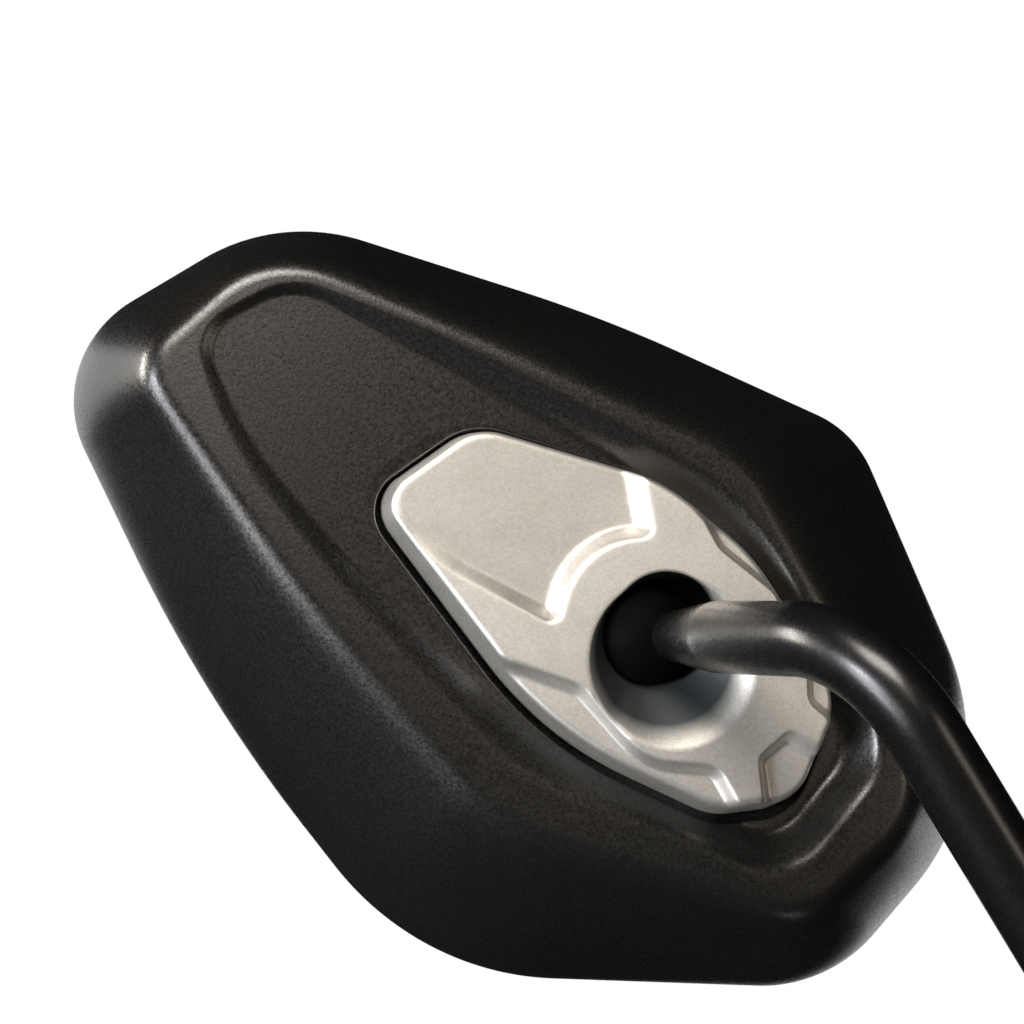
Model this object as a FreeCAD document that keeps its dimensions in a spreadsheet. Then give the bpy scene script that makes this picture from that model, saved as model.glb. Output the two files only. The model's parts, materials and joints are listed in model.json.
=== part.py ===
import FreeCAD, Part
import math
import os
import Sketcher
from FreeCAD import Placement, Rotation, Vector

# Right-hand motorcycle mirror: a bent stem with a ball at its upper end, and a head that is clamped
# on the ball. Millimetres, +Z up, +X outwards from the motorcycle, +Y forwards, glass facing -Y.
# The origin is on the stud's axis, at the lower face of the lock nut.

# Driving sizes
SIZES = {
    # threaded foot, the thread drawn at its crests where it is free and at its roots in the nut
    "stud_radius": 5.0,
    "stud_length": 12.0,
    "stud_chamfer": 0.8,
    "thread_root_radius": 4.55,
    "relief_top": 11.0,
    "cone_top": 19.0,
    "nut_flats": 14.0,
    "nut_height": 9.2,
    "nut_chamfer": 0.7,
    "nut_face_radius": 6.9,
    "nut_corner_radius": 8.3,
    "nut_gap": 0.07,
    # bent rod
    "rod_radius": 5.5,
    "foot_corner_height": 66.0,
    "foot_bend_deg": 45.0,
    "foot_bend_radius": 24.0,
    "leg_length": 150.0,
    "head_bend_radius": 20.0,
    "neck_reach": 52.0,
    "neck_splay_deg": 23.4,
    "neck_radius": 3.7,
    "neck_taper_start": 33.0,
    "ball_radius": 8.5,
    # rubber boot, in its raised place
    "boot_foot": 18.6,
    "boot_height": 34.8,
    "boot_foot_radius": 12.3,
    "boot_waist_radius": 11.8,
    "boot_waist_height": 17.4,
    "boot_top_radius": 8.6,
    "boot_shoulder_radius": 46.0,
    "boot_wall": 2.3,
    "boot_collar": 3.0,
    "boot_top_step": 0.6,
    "boot_grip_gap": 0.05,
    # head as a whole: overall size of the rim, and levels above the rim plane under the ball
    "head_width": 164.9,
    "head_height": 114.4,
    "shoulder_level": 32.0,
    "shoulder_slope_deg": 1.4,
    "recess_depth": 3.6,
    "recess_slope_deg": -0.8,
    "recess_overrun": 0.8,
    "rim_overrun": 1.0,
    "plate_rise": 3.0,
    "plate_slope_deg": 1.9,
    "plate_bevel": 2.0,
    "shell_wall": 2.5,
    "ridge_round": 0.6,
    "crown_round": 2.4,
    "least_corner": 0.4,
    "fit_gap": 0.3,
    # ball socket
    "ball_depth": 4.5,
    "slide_gap": 0.08,
    "mouth_rise": 3.35,
    "mouth_x": 0.6,
    "mouth_y": -0.7,
    "mouth_radius": 7.7,
    "mouth_tilt_deg": 5.0,
    "dish_x": 4.1,
    "dish_y": -4.0,
    "dish_radius": 13.3,
    "dish_overrun": 1.0,
    "dish_flare": 1.3,
    "collar_radius": 12.5,
    "socket_skirt": 1.1,
    "seat_cup_wall": 1.75,
    "pressure_cup_wall": 1.45,
    "cup_low_deg": -75.0,
    "seat_cup_top_deg": -30.0,
    "pressure_cup_top_deg": -33.0,
    # clamp under the ball
    "clamp_pitch_radius": 19.0,
    "clamp_floor": 2.45,
    "clamp_ear_thickness": 3.3,
    "clamp_ring_radius": 14.3,
    "clamp_ring_height": 6.8,
    "clamp_ear_radius": 6.0,
    "clamp_post_radius": 4.2,
    "clamp_post_gap": 1.5,
    "screw_radius": 1.95,
    "thread_gap": 0.05,
    "pass_gap": 0.3,
    "screw_head_radius": 3.9,
    "screw_head_height": 2.3,
    "clamp_screw_length": 16.0,
    "washer_radius": 4.5,
    "washer_thickness": 0.8,
    "clamp_head_level": 5.71,
    "spring_radius": 4.5,
    "spring_wall": 0.6,
    "cover_screw_bite": 2.4,
    "screw_play": 0.15,
    "screw_end_room": 0.4,
    "pocket_overrun": 3.0,
    # glass, convex towards the rider, and what carries it
    "glass_radius": 1200.0,
    "glass_front": -1.4,
    "glass_thickness": 2.6,
    "glass_inset": 5.0,
    "glass_centre_x": -15.0,
    "glass_centre_y": 1.5,
    "bezel_front": -2.0,
    "bezel_flange_gap": 0.7,
    "bezel_depth": 5.0,
    "bezel_wall_inset": 3.3,
    "bezel_lip_inset": 6.5,
    "foam_thickness": 1.3,
    "sheet_gap": 0.25,
    "foam_inset": 8.0,
    "backing_thickness": 2.0,
    "backing_inset": 5.5,
    "backing_post_radius": 4.4,
    "backing_head_radius": 3.4,
    "backing_head_height": 1.5,
    "backing_head_sink": 0.2,
    "backing_screw_length": 11.0,
}

# Outlines as corners: x, y and the radius that rounds the corner, seen from behind the head,
# with x to the motorcycle's middle, y up and the ball at 0, 0. They are drawn for a head of this
# width and height, and stretch with it.
DRAWN_WIDTH = 164.9
DRAWN_HEIGHT = 114.4
OUTLINES = {
    "rim": [(-104, 24, 20), (-63.2, -24.6, 250), (-17.9, -59.7, 50), (51, -46.7, 26),
            (75.2, -4.3, 40), (36.2, 49.1, 18), (-13, 56.8, 250), (-72, 58.4, 34)],
    "ridge": [(-87, 21.5, 8), (-52.5, -7, 250), (-16.5, -34.3, 30), (34, -38.2, 11),
              (52, -14.2, 15), (9.3, 31.9, 17), (-30, 38.7, 250), (-72.5, 45, 18)],
    "recess": [(-80.8, 28.2, 8), (-70, 11.5, 60), (-44, -8.3, 250), (-15.5, -26, 45),
               (31, -32.5, 11), (42.5, -9.7, 10), (10, 26, 45), (-38, 36.8, 250), (-68, 40.6, 12)],
    "recess_floor": [(-79.3, 27.9, 7), (-67, 12.6, 60), (-48.5, 0, 60), (-12.5, -20, 45),
                     (28.5, -27, 9), (38.2, -9, 8), (9, 21.8, 45), (-38, 33, 250), (-67, 39.6, 11)],
    "plate": [(-48, 9.5, 6), (-12, -19.5, 60), (17, -25.2, 12), (29.5, -20.5, 9),
              (32.8, -2.5, 10), (14, 17, 30), (-4, 24.8, 30), (-34.5, 25.5, 10)],
}

# Lowered areas of the cover plate: depth, tilt about Y and the point where the depth is measured,
# bank of the walls, and corners
POCKETS = {
    "facet": (2.3, 4.2, (-12, 0), 2.3,
              [(-60, 10, 1), (-32, 0.9, 9), (-14.6, -3.2, 2), (-14.4, 10.0, 13), (-3.0, 14.6, 2),
               (-14, 40, 1), (-60, 40, 1)]),
    "lower_shelf": (1.5, 0.0, (0, 0), 0.9,
                    [(-34, -40, 1), (23.0, -40, 1), (21.6, -25.5, 3), (14.6, -17.9, 4),
                     (3.5, -19.6, 10), (-9.0, -11.0, 5), (-24, -9.6, 4), (-34, -4, 1)]),
    "upper_shelf": (1.4, 0.0, (0, 0), 0.9,
                    [(50, -12, 1), (34, -8.6, 2), (26.4, -4.8, 3), (25.0, 1.5, 6), (18.0, 10.4, 8),
                     (7.5, 15.2, 5), (-4, 28, 3), (0, 40, 1), (50, 40, 1)]),
    "corner_pocket": (1.6, 0.0, (0, 0), 0.9,
                      [(24.6, -27, 3), (20.4, -15.2, 2), (24.4, -9.8, 2), (34, -12.6, 3),
                       (50, -16, 1), (50, -40, 1), (28, -40, 1)]),
}

# Side wall of the shell, from the rim to the crown: share of the way from the rim's outline to the
# ridge's, share of the height, and how much of the two rounding insets is added
WALL_PROFILE = [(0.0, 0.0, 0, 0), (0.113, 0.238, 0, 0), (0.324, 0.493, 0, 0), (0.623, 0.751, 0, 0),
                (0.887, 0.932, 0, 0), (0.972, 0.983, 1, 0), (1.0, 1.0, 0, 1)]

CLAMP_ANGLES = (60, 180, 300)
COVER_SCREW_SPOTS = [(-33, 10), (-8, 19), (24, -8)]
# places of the carrier plate's screws, and the level where each post runs into the shell, drawn for
# this shoulder level
DRAWN_SHOULDER = 32.0
BACKING_SPOTS = [(-66, 20, 28.5), (-14, 37, 25.5), (46, -15.5, 30.5), (-8, -37, 25.0)]
SPRING_WAVES = 2

doc = FreeCAD.newDocument("mirror")
sheet = doc.addObject("Spreadsheet::Sheet", "sizes")
CELLS = dict(SIZES)
for outline_name, corner_list in OUTLINES.items():
    for number, corner in enumerate(corner_list):
        for axis_name, coordinate in zip(("across", "up", "round"), corner):
            CELLS[f"{outline_name}_{axis_name}_{number}"] = coordinate
for row, (alias, amount_set) in enumerate(CELLS.items(), 1):
    sheet.set(f"A{row}", alias)
    sheet.set(f"B{row}", str(amount_set))
    sheet.setAlias(f"B{row}", alias)
doc.recompute()


def size(alias):
    """A size from the sheet."""
    return float(sheet.get(alias))


def amount(text):
    """Value of a sum of sizes and numbers, such as 'stud_chamfer - stud_length'."""
    total = 0.0
    sign = 1.0
    for word in text.split():
        if word in ("+", "-"):
            sign = 1.0 if word == "+" else -1.0
        else:
            total += sign * (size(word) if word in CELLS else float(word))
    return total


def bound(text):
    """The same sum as an expression on the sheet."""
    return " ".join(f"sizes.{word}" if word in CELLS else word for word in text.split())


def part(kind, label, **sums):
    """A Part object whose properties are bound to sums of sizes."""
    item = doc.addObject(f"Part::{kind}", label)
    for name, text in sums.items():
        item.setExpression(name, bound(text))
    return item


def combine(kind, label, base, tool):
    """A Part::Cut or Part::Common of two objects."""
    item = doc.addObject(f"Part::{kind}", label)
    item.Base = base
    item.Tool = tool
    return item


def fuse(label, items):
    item = doc.addObject("Part::MultiFuse", label)
    item.Shapes = items
    return item


def turned(label, profile, arcs=()):
    """A body turned about Z from a closed outline of (radius, height) sums, counter-clockwise.

    An edge listed in arcs, as {corner that it ends at: radius}, bulges outwards."""
    body = doc.addObject("PartDesign::Body", label)
    sketch = body.newObject("Sketcher::SketchObject", f"{label}_profile")
    plane = next(item for item in body.Origin.OriginFeatures if item.Role == "XZ_Plane")
    sketch.AttachmentSupport = [(plane, "")]
    sketch.MapMode = "FlatFace"
    points = [Vector(amount(radius), amount(height), 0) for radius, height in profile]
    for i, point in enumerate(points):
        start = points[i - 1]
        if i in arcs:
            chord = point - start
            half = chord.Length / 2
            sag = amount(arcs[i]) - math.sqrt(amount(arcs[i]) ** 2 - half ** 2)
            outwards = Vector(chord.y, -chord.x, 0).normalize()
            sketch.addGeometry(Part.Arc(start, (start + point) * 0.5 + outwards * sag, point))
        else:
            sketch.addGeometry(Part.LineSegment(start, point))
    for i, (radius, height) in enumerate(profile):
        sketch.addConstraint(Sketcher.Constraint("Coincident", i, 2, (i + 1) % len(profile), 1))
        for kind, text in (("DistanceX", radius), ("DistanceY", height)):
            index = sketch.addConstraint(Sketcher.Constraint(kind, -1, 1, i, 2, amount(text)))
            sketch.setExpression(f"Constraints[{index}]", bound(text))
        if i in arcs:
            index = sketch.addConstraint(Sketcher.Constraint("Radius", i, amount(arcs[i])))
            sketch.setExpression(f"Constraints[{index}]", bound(arcs[i]))
    turn = body.newObject("PartDesign::Revolution", f"{label}_turn")
    turn.Profile = sketch
    turn.ReferenceAxis = (sketch, ["V_Axis"])
    turn.Angle = 360
    return body


def rounded_path(points, radii):
    """Straight runs through the points, joined by tangent arcs."""
    edges = []
    start = points[0]
    for before, corner, after, radius in zip(points, points[1:], points[2:], radii):
        into = (corner - before).normalize()
        out = (after - corner).normalize()
        half_turn = into.getAngle(out) / 2
        run = radius * math.tan(half_turn)
        middle = corner + (out - into).normalize() * radius * (1 / math.cos(half_turn) - 1)
        edges.append(Part.makeLine(start, corner - into * run))
        edges.append(Part.Arc(corner - into * run, middle, corner + out * run).toShape())
        start = corner + out * run
    edges.append(Part.makeLine(start, points[-1]))
    return Part.Wire(edges)


RECESS_LEVEL = size("shoulder_level") - size("recess_depth")
PLATE_LEVEL = size("shoulder_level") + size("plate_rise")
BALL_LEVEL = size("shoulder_level") - size("ball_depth")
STRETCH_X = size("head_width") / DRAWN_WIDTH
STRETCH_Y = size("head_height") / DRAWN_HEIGHT


def spot(place, level=0.0):
    """A place on the head, which moves with the head's overall size."""
    return Vector(place[0] * STRETCH_X, place[1] * STRETCH_Y, level)


def corners(name):
    """Corners of an outline, as (place, radius), from the sheet."""
    return [(spot((size(f"{name}_across_{i}"), size(f"{name}_up_{i}"))), size(f"{name}_round_{i}"))
            for i in range(len(OUTLINES[name]))]


def blend(first, second, share):
    """Corners part of the way from one outline to another with as many corners."""
    return [(a + (b - a) * share, ra + (rb - ra) * share)
            for (a, ra), (b, rb) in zip(first, second)]


def inset_corners(corner_list, inset):
    """Corners of the outline that lies inside by inset, with its arcs kept concentric."""
    moved = []
    count = len(corner_list)
    points = [place for place, radius in corner_list]
    area = sum(points[i - 1].cross(points[i]).z for i in range(count))
    side = math.copysign(1.0, area)
    for i, (place, radius) in enumerate(corner_list):
        into = (place - points[i - 1]).normalize()
        out = (points[(i + 1) % count] - place).normalize()
        bend = into.cross(out).z * side
        normal_in = Vector(-into.y, into.x, 0) * side
        normal_out = Vector(-out.y, out.x, 0) * side
        middle = normal_in + normal_out
        shift = middle * (2 * inset / middle.dot(middle))
        moved.append((place + shift, max(radius - math.copysign(inset, bend), size("least_corner"))))
    return moved


def outline(corner_list, inset=0.0):
    """A flat closed wire of straight edges and corner arcs."""
    corner_list = inset_corners(corner_list, inset)
    count = len(corner_list)
    runs = []
    for i, (corner, radius) in enumerate(corner_list):
        into = (corner - corner_list[i - 1][0]).normalize()
        out = (corner_list[(i + 1) % count][0] - corner).normalize()
        half_turn = into.getAngle(out) / 2
        run = radius * math.tan(half_turn)
        middle = corner + (out - into).normalize() * radius * (1 / math.cos(half_turn) - 1)
        runs.append((corner - into * run, middle, corner + out * run))
    edges = []
    for i, (first, middle, last) in enumerate(runs):
        edges.append(Part.makeLine(runs[i - 1][2], first))
        edges.append(Part.Arc(first, middle, last).toShape())
    return Part.Wire(edges)


def section(label, wire, level, slope_deg=0.0):
    """A wire on a plane that passes the ball's axis at a level and rises towards +X."""
    item = doc.addObject("Part::Feature", label)
    item.Shape = wire
    item.Placement = Placement(Vector(0, 0, level), Rotation(Vector(0, 1, 0), -slope_deg))
    return item


def loft(label, sections, ruled):
    item = doc.addObject("Part::Loft", label)
    item.Sections = sections
    item.Solid = True
    item.Ruled = ruled
    return item


def upright(label, base, height):
    """A block that stands on a flat wire, upright on the head."""
    item = doc.addObject("Part::Extrusion", label)
    item.Base = base
    item.Dir = Vector(0, 0, 1)
    item.DirMode = "Custom"
    item.LengthFwd = height
    item.Solid = True
    return item


def prism(label, corner_list, inset, low, high):
    """An upright block with an outline of corners, between two levels."""
    base = section(f"{label}_outline", outline(corner_list, inset), low)
    return upright(label, base, high - low)


def copies(label, source, places):
    """Separate copies of one solid, as one group."""
    links = []
    for number, place in enumerate(places):
        item = doc.addObject("Part::Feature", f"{label}_{number}")
        item.Shape = source.Shape.copy()
        item.Placement = Placement(place, Rotation())
        links.append(item)
    group = doc.addObject("Part::Compound", label)
    group.Links = links
    return group


# Stem: where its corners and the ball are
leg_angle = math.radians(size("foot_bend_deg"))
splay = math.radians(size("neck_splay_deg"))
foot_corner = Vector(0, 0, size("foot_corner_height"))
leg_way = Vector(math.sin(leg_angle), 0, math.cos(leg_angle))
head_corner = foot_corner + leg_way * size("leg_length")
neck_way = Vector(math.sin(splay), -math.cos(splay), 0)
ball = head_corner + neck_way * size("neck_reach")
NECK_TURN = Rotation(Vector(0, 0, 1), -neck_way)
HEAD = Placement(ball - Vector(0, BALL_LEVEL, 0), Rotation(Vector(0, 1, 1), 180))
BALL_LOCAL = Vector(0, 0, BALL_LEVEL)
NECK_LOCAL = Rotation(Vector(0, 1, 0), size("neck_splay_deg"))

subparts = []


def finish(item, label, placement=None):
    """Name a sub-part and put it in its place."""
    item.Label = label
    if placement is not None:
        item.Placement = placement
    subparts.append(item)


def make_stem():
    stud = turned("stud", [
        ("0", "- stud_length"),
        ("stud_radius - stud_chamfer", "- stud_length"),
        ("stud_radius", "stud_chamfer - stud_length"),
        ("stud_radius", "0"),
        ("thread_root_radius", "0"),
        ("thread_root_radius", "relief_top"),
        ("rod_radius", "cone_top"),
        ("0", "cone_top")])
    path = doc.addObject("Part::Feature", "stem_path")
    taper_end = ball - neck_way * size("neck_taper_start")
    path.Shape = rounded_path([Vector(0, 0, size("cone_top")), foot_corner, head_corner, taper_end],
                              [size("foot_bend_radius"), size("head_bend_radius")])
    ring = part("Circle", "rod_section", Radius="rod_radius")
    ring.Placement = Placement(Vector(0, 0, size("cone_top")), Rotation())
    rod = doc.addObject("Part::Sweep", "rod")
    rod.Sections = [ring]
    rod.Spine = (path, [f"Edge{i + 1}" for i in range(len(path.Shape.Edges))])
    rod.Solid = True
    neck = part("Cone", "neck", Radius1="neck_radius", Radius2="rod_radius",
                Height="neck_taper_start - ball_radius + neck_radius")
    neck_foot = size("ball_radius") - size("neck_radius")
    neck.Placement = Placement(ball - neck_way * neck_foot, NECK_TURN)
    knob = part("Sphere", "knob", Radius="ball_radius")
    knob.Placement = Placement(ball, NECK_TURN)
    finish(fuse("stem_solid", [stud, rod, neck, knob]), "stem")


def make_lock_nut():
    blank = part("Prism", "nut_blank", Height="nut_height")
    blank.Polygon = 6
    blank.setExpression("Circumradius", "sizes.nut_flats / sqrt(3)")
    turning = turned("nut_turning", [
        ("0", "0"),
        ("nut_face_radius", "0"),
        ("nut_corner_radius", "nut_chamfer"),
        ("nut_corner_radius", "nut_height - nut_chamfer"),
        ("nut_face_radius", "nut_height"),
        ("0", "nut_height")])
    bore = part("Cylinder", "nut_bore", Radius="thread_root_radius + nut_gap", Height="nut_height")
    nut = combine("Cut", "nut_solid", combine("Common", "nut_body", blank, turning), bore)
    finish(nut, "lock_nut")


def make_boot():
    boot = turned("boot_solid", [
        ("boot_foot_radius - boot_wall", "0"),
        ("boot_foot_radius", "0"),
        ("boot_waist_radius", "boot_waist_height"),
        ("boot_top_radius", "boot_height"),
        ("rod_radius + boot_grip_gap", "boot_height"),
        ("rod_radius + boot_grip_gap", "boot_height - boot_collar"),
        ("boot_top_radius - boot_top_step", "boot_height - boot_collar"),
        ("boot_waist_radius - boot_wall", "boot_waist_height")],
        arcs={3: "boot_shoulder_radius", 7: "boot_shoulder_radius"})
    finish(boot, "boot", Placement(Vector(0, 0, size("boot_foot")), Rotation()))


def make_cup(label, inside, wall, low_deg, top_deg):
    """A spherical cup under the ball, cut off flat above and below."""
    outer = part("Sphere", f"{label}_outer", Radius=f"{inside} + {wall}",
                 Angle1=low_deg, Angle2=top_deg)
    hollow = part("Sphere", f"{label}_hollow", Radius=inside)
    cup = combine("Cut", f"{label}_solid", outer, hollow)
    finish(cup, label, HEAD * Placement(BALL_LOCAL, Rotation()))


def shell_sections(label, inset, lowest):
    """Cross-sections of the shell's side wall, from the rim to the crown."""
    rim = corners("rim")
    ridge = corners("ridge")
    rows = []
    for i, (share, rise, ridge_part, crown_part) in enumerate(WALL_PROFILE):
        rounding = size("ridge_round") * ridge_part + size("crown_round") * crown_part
        level = rise * (size("shoulder_level") - inset) if i else lowest
        wire = outline(blend(rim, ridge, share), inset + rounding)
        rows.append(section(f"{label}_{i}", wire, level, rise * size("shoulder_slope_deg")))
    return rows


def recess_block(label, grow):
    """The tapered recess of the back, shallowest at its outer end, with a bank that widens."""
    over = size("recess_overrun")
    low = section(f"{label}_floor", outline(corners("recess_floor"), -grow),
                  RECESS_LEVEL - grow, size("recess_slope_deg"))
    high = section(f"{label}_top", outline(corners("recess"), -over - grow),
                   size("shoulder_level") + over, size("shoulder_slope_deg"))
    return loft(label, [low, high], True)


def rod_at(label, radius, place, low, high):
    """An upright cylinder on the head between two levels, its radius a sum of sizes."""
    item = part("Cylinder", label, Radius=radius)
    item.Height = high - low
    item.Placement = Placement(Vector(place.x, place.y, low), Rotation())
    return item


def level_at(level, slope_deg, x):
    """Height of a sloping plane at x."""
    return level + x * math.tan(math.radians(slope_deg))


CLAMP_SPOTS = [Vector(math.cos(math.radians(angle)), math.sin(math.radians(angle)), 0)
               * size("clamp_pitch_radius") for angle in CLAMP_ANGLES]
COVER_SPOTS = [spot(place) for place in COVER_SCREW_SPOTS]
POST_SPOTS = [spot(place[:2], place[2] * size("shoulder_level") / DRAWN_SHOULDER)
              for place in BACKING_SPOTS]
GLASS_CENTRE = spot((size("glass_centre_x"), size("glass_centre_y")),
                    size("glass_front") + size("glass_radius"))
FOAM_FRONT = "glass_radius - glass_thickness - sheet_gap"
BACKING_FRONT = f"{FOAM_FRONT} - foam_thickness - sheet_gap"
CUP_STACK = "ball_radius + slide_gap + seat_cup_wall + slide_gap + pressure_cup_wall + slide_gap"
CLAMP_FLOOR = BALL_LEVEL - amount(CUP_STACK) - size("clamp_floor")
CLAMP_EAR_TOP = CLAMP_FLOOR + size("clamp_ear_thickness")
POST_FOOT = CLAMP_EAR_TOP + size("clamp_post_gap")
HEAD_TOP = size("clamp_head_level") + size("screw_head_height")
SPRING_FOOT = HEAD_TOP + size("washer_thickness")
SPRING_STEP = (CLAMP_FLOOR - SPRING_FOOT) / (2 * SPRING_WAVES)


def recess_floor(x):
    return level_at(RECESS_LEVEL, size("recess_slope_deg"), x)


def big_ball(label, radius):
    """A ball about the glass's centre of curvature, its poles and seam turned away."""
    item = part("Sphere", label, Radius=radius)
    item.Placement = Placement(GLASS_CENTRE, Rotation(Vector(1, 0, 0), 90))
    return item


def make_back_shell():
    outer = loft("shell_outer", shell_sections("shell_wall_out", 0.0, 0.0), False)
    inner = loft("shell_inner", shell_sections("shell_wall_in", size("shell_wall"),
                                               -size("rim_overrun")), False)
    cavity = combine("Cut", "cavity", inner, recess_block("recess_under", size("shell_wall")))
    plate_room = upright("plate_room", section(
        "plate_room_outline", outline(corners("plate"), -size("fit_gap")), RECESS_LEVEL,
        size("recess_slope_deg")), PLATE_LEVEL)
    skin = combine("Cut", "shell_skin", combine("Cut", "shell_cut", outer, cavity),
                   fuse("recess_cuts", [recess_block("recess", 0.0), plate_room]))
    floor_middle = size("shell_wall") / 2
    clamp_posts = [rod_at(f"clamp_post_{i}", "clamp_post_radius", place, POST_FOOT,
                          recess_floor(place.x) - floor_middle)
                   for i, place in enumerate(CLAMP_SPOTS)]
    backing_posts = [rod_at(f"backing_post_{i}", "backing_post_radius", place, 0, place.z)
                     for i, place in enumerate(POST_SPOTS)]
    reach = big_ball("post_reach", f"{BACKING_FRONT} - backing_thickness - sheet_gap")
    trimmed = combine("Common", "trimmed_posts", fuse("backing_posts", backing_posts), reach)
    whole = fuse("shell_posts", [skin, trimmed] + clamp_posts)
    holes = [rod_at("collar_hole", "collar_radius + fit_gap", Vector(), POST_FOOT,
                    PLATE_LEVEL)]
    tapped = "screw_radius + thread_gap"
    end_room = size("screw_end_room")
    for i, place in enumerate(CLAMP_SPOTS):
        top = HEAD_TOP + size("clamp_screw_length") + end_room
        holes.append(rod_at(f"clamp_hole_{i}", tapped, place, 0, top))
    for i, place in enumerate(POST_SPOTS):
        holes.append(rod_at(f"backing_hole_{i}", tapped, place, 0,
                            backing_face(place) + size("backing_screw_length") + end_room))
    for i, place in enumerate(COVER_SPOTS):
        holes.append(rod_at(f"cover_hole_{i}", "screw_radius + pass_gap", place, POST_FOOT,
                            PLATE_LEVEL))
    finish(combine("Cut", "shell_solid", whole, fuse("shell_holes", holes)), "back_shell", HEAD)


def backing_face(place):
    """Level of the carrier plate's front face at a place."""
    radius = amount(BACKING_FRONT)
    off = math.hypot(place.x - GLASS_CENTRE.x, place.y - GLASS_CENTRE.y)
    return GLASS_CENTRE.z - math.sqrt(radius ** 2 - off ** 2)


def plate_pocket(label, depth, tilt_deg, datum, bank, corner_list):
    """A lowered area of the cover plate with banked walls, its corners drawn on the main face."""
    edge = [(spot(corner[:2]), corner[2]) for corner in corner_list]
    over = size("pocket_overrun")
    slope = size("plate_slope_deg") - tilt_deg
    at_datum = level_at(PLATE_LEVEL, size("plate_slope_deg"), datum[0]) - depth
    low = section(f"{label}_floor", outline(edge, bank), level_at(at_datum, slope, -datum[0]), slope)
    high = section(f"{label}_top", outline(edge, -bank * over / depth),
                   PLATE_LEVEL + over, size("plate_slope_deg"))
    return loft(label, [low, high], True)


def make_cover_plate():
    base = section("plate_base", outline(corners("plate")), RECESS_LEVEL,
                   size("recess_slope_deg"))
    face = section("plate_face", outline(corners("plate"), size("plate_bevel")),
                   PLATE_LEVEL, size("plate_slope_deg"))
    slab = loft("plate_slab", [base, face], True)
    collar = rod_at("collar", "collar_radius", Vector(), BALL_LEVEL - size("socket_skirt"),
                    RECESS_LEVEL + size("shell_wall"))
    blank = fuse("plate_blank", [slab, collar])
    cutters = [plate_pocket(name, *pocket) for name, pocket in POCKETS.items()]
    mouth = doc.addObject("Part::Feature", "dish_mouth")
    mouth.Shape = Part.Wire(Part.makeCircle(
        size("mouth_radius"), Vector(size("mouth_x"), size("mouth_y"), size("mouth_rise"))))
    mouth.Placement = Placement(BALL_LOCAL, Rotation(Vector(0, 1, 0), size("mouth_tilt_deg")))
    brim_radius = size("dish_radius") + size("dish_flare") * size("dish_overrun")
    brim = section("dish_brim", Part.Wire(Part.makeCircle(
        brim_radius, Vector(size("dish_x"), size("dish_y"), 0))),
        PLATE_LEVEL + size("dish_overrun"), size("plate_slope_deg"))
    cutters.append(loft("dish", [mouth, brim], True))
    socket = part("Sphere", "socket", Radius="ball_radius + slide_gap")
    socket.Placement = Placement(BALL_LOCAL, NECK_LOCAL)
    cutters.append(socket)
    cutters.append(rod_at("socket_bore", "ball_radius + slide_gap", Vector(), 0, BALL_LOCAL.z))
    for i, place in enumerate(COVER_SPOTS):
        top = recess_floor(place.x) + size("cover_screw_bite") + size("screw_end_room")
        cutters.append(rod_at(f"plate_hole_{i}", "screw_radius + thread_gap", place, 0, top))
    solid = blank
    for i, cutter in enumerate(cutters):
        solid = combine("Cut", f"plate_cut_{i}", solid, cutter)
    finish(solid, "cover_plate", HEAD)


def make_screws(label, length, places):
    """Pan-head screws that point away from the glass, placed by the heads' outer faces."""
    pan_edge = "screw_head_radius - screw_play"
    screw = turned(f"{label}_pattern", [
        ("0", "0"),
        (pan_edge, "0"),
        ("screw_head_radius", "screw_play"),
        ("screw_head_radius", "screw_head_height"),
        ("screw_radius", "screw_head_height"),
        ("screw_radius", f"screw_head_height + {length}"),
        ("0", f"screw_head_height + {length}")])
    doc.recompute()
    finish(copies(f"{label}_group", screw, places), label, HEAD)


def make_clamp():
    ear = size("clamp_ear_radius")
    tip = size("clamp_pitch_radius") + 2 * ear
    triangle = [(place.normalize() * tip, ear) for place in map(Vector, CLAMP_SPOTS)]
    ears = prism("clamp_ears", triangle, 0.0, CLAMP_FLOOR, CLAMP_EAR_TOP)
    ring = rod_at("clamp_ring", "clamp_ring_radius", Vector(), CLAMP_FLOOR,
                  CLAMP_FLOOR + size("clamp_ring_height"))
    dish = part("Sphere", "clamp_dish", Radius=CUP_STACK)
    dish.Placement = Placement(BALL_LOCAL, Rotation())
    holes = [rod_at(f"clamp_ear_hole_{i}", "screw_radius + pass_gap", place, 0, BALL_LOCAL.z)
             for i, place in enumerate(CLAMP_SPOTS)]
    plate = combine("Cut", "clamp_solid", fuse("clamp_blank", [ears, ring]),
                    fuse("clamp_cuts", [dish] + holes))
    finish(plate, "clamp_plate", HEAD)
    up = Vector(0, 0, 1)
    make_screws("clamp_screws", "clamp_screw_length",
                [place + up * (HEAD_TOP - size("screw_head_height")) for place in CLAMP_SPOTS])
    washer = turned("washer_pattern", [
        ("screw_radius + pass_gap", "0"),
        ("washer_radius", "0"),
        ("washer_radius", "washer_thickness"),
        ("screw_radius + pass_gap", "washer_thickness")])
    hollow = "screw_radius + pass_gap"
    outside = [(f"{hollow} + spring_wall", "0")]
    inside = [(hollow, "0")]
    height = "0"
    for wave in range(SPRING_WAVES):
        height += f" + {SPRING_STEP}"
        outside.append(("spring_radius", height))
        inside.append(("spring_radius - spring_wall", height))
        height += f" + {SPRING_STEP}"
        outside.append((f"{hollow} + spring_wall", height))
        inside.append((hollow, height))
    spring = turned("spring_pattern", outside + inside[::-1])
    doc.recompute()
    finish(copies("washer_group", washer, [place + up * HEAD_TOP for place in CLAMP_SPOTS]),
           "clamp_washers", HEAD)
    finish(copies("spring_group", spring, [place + up * SPRING_FOOT for place in CLAMP_SPOTS]),
           "clamp_springs", HEAD)


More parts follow.
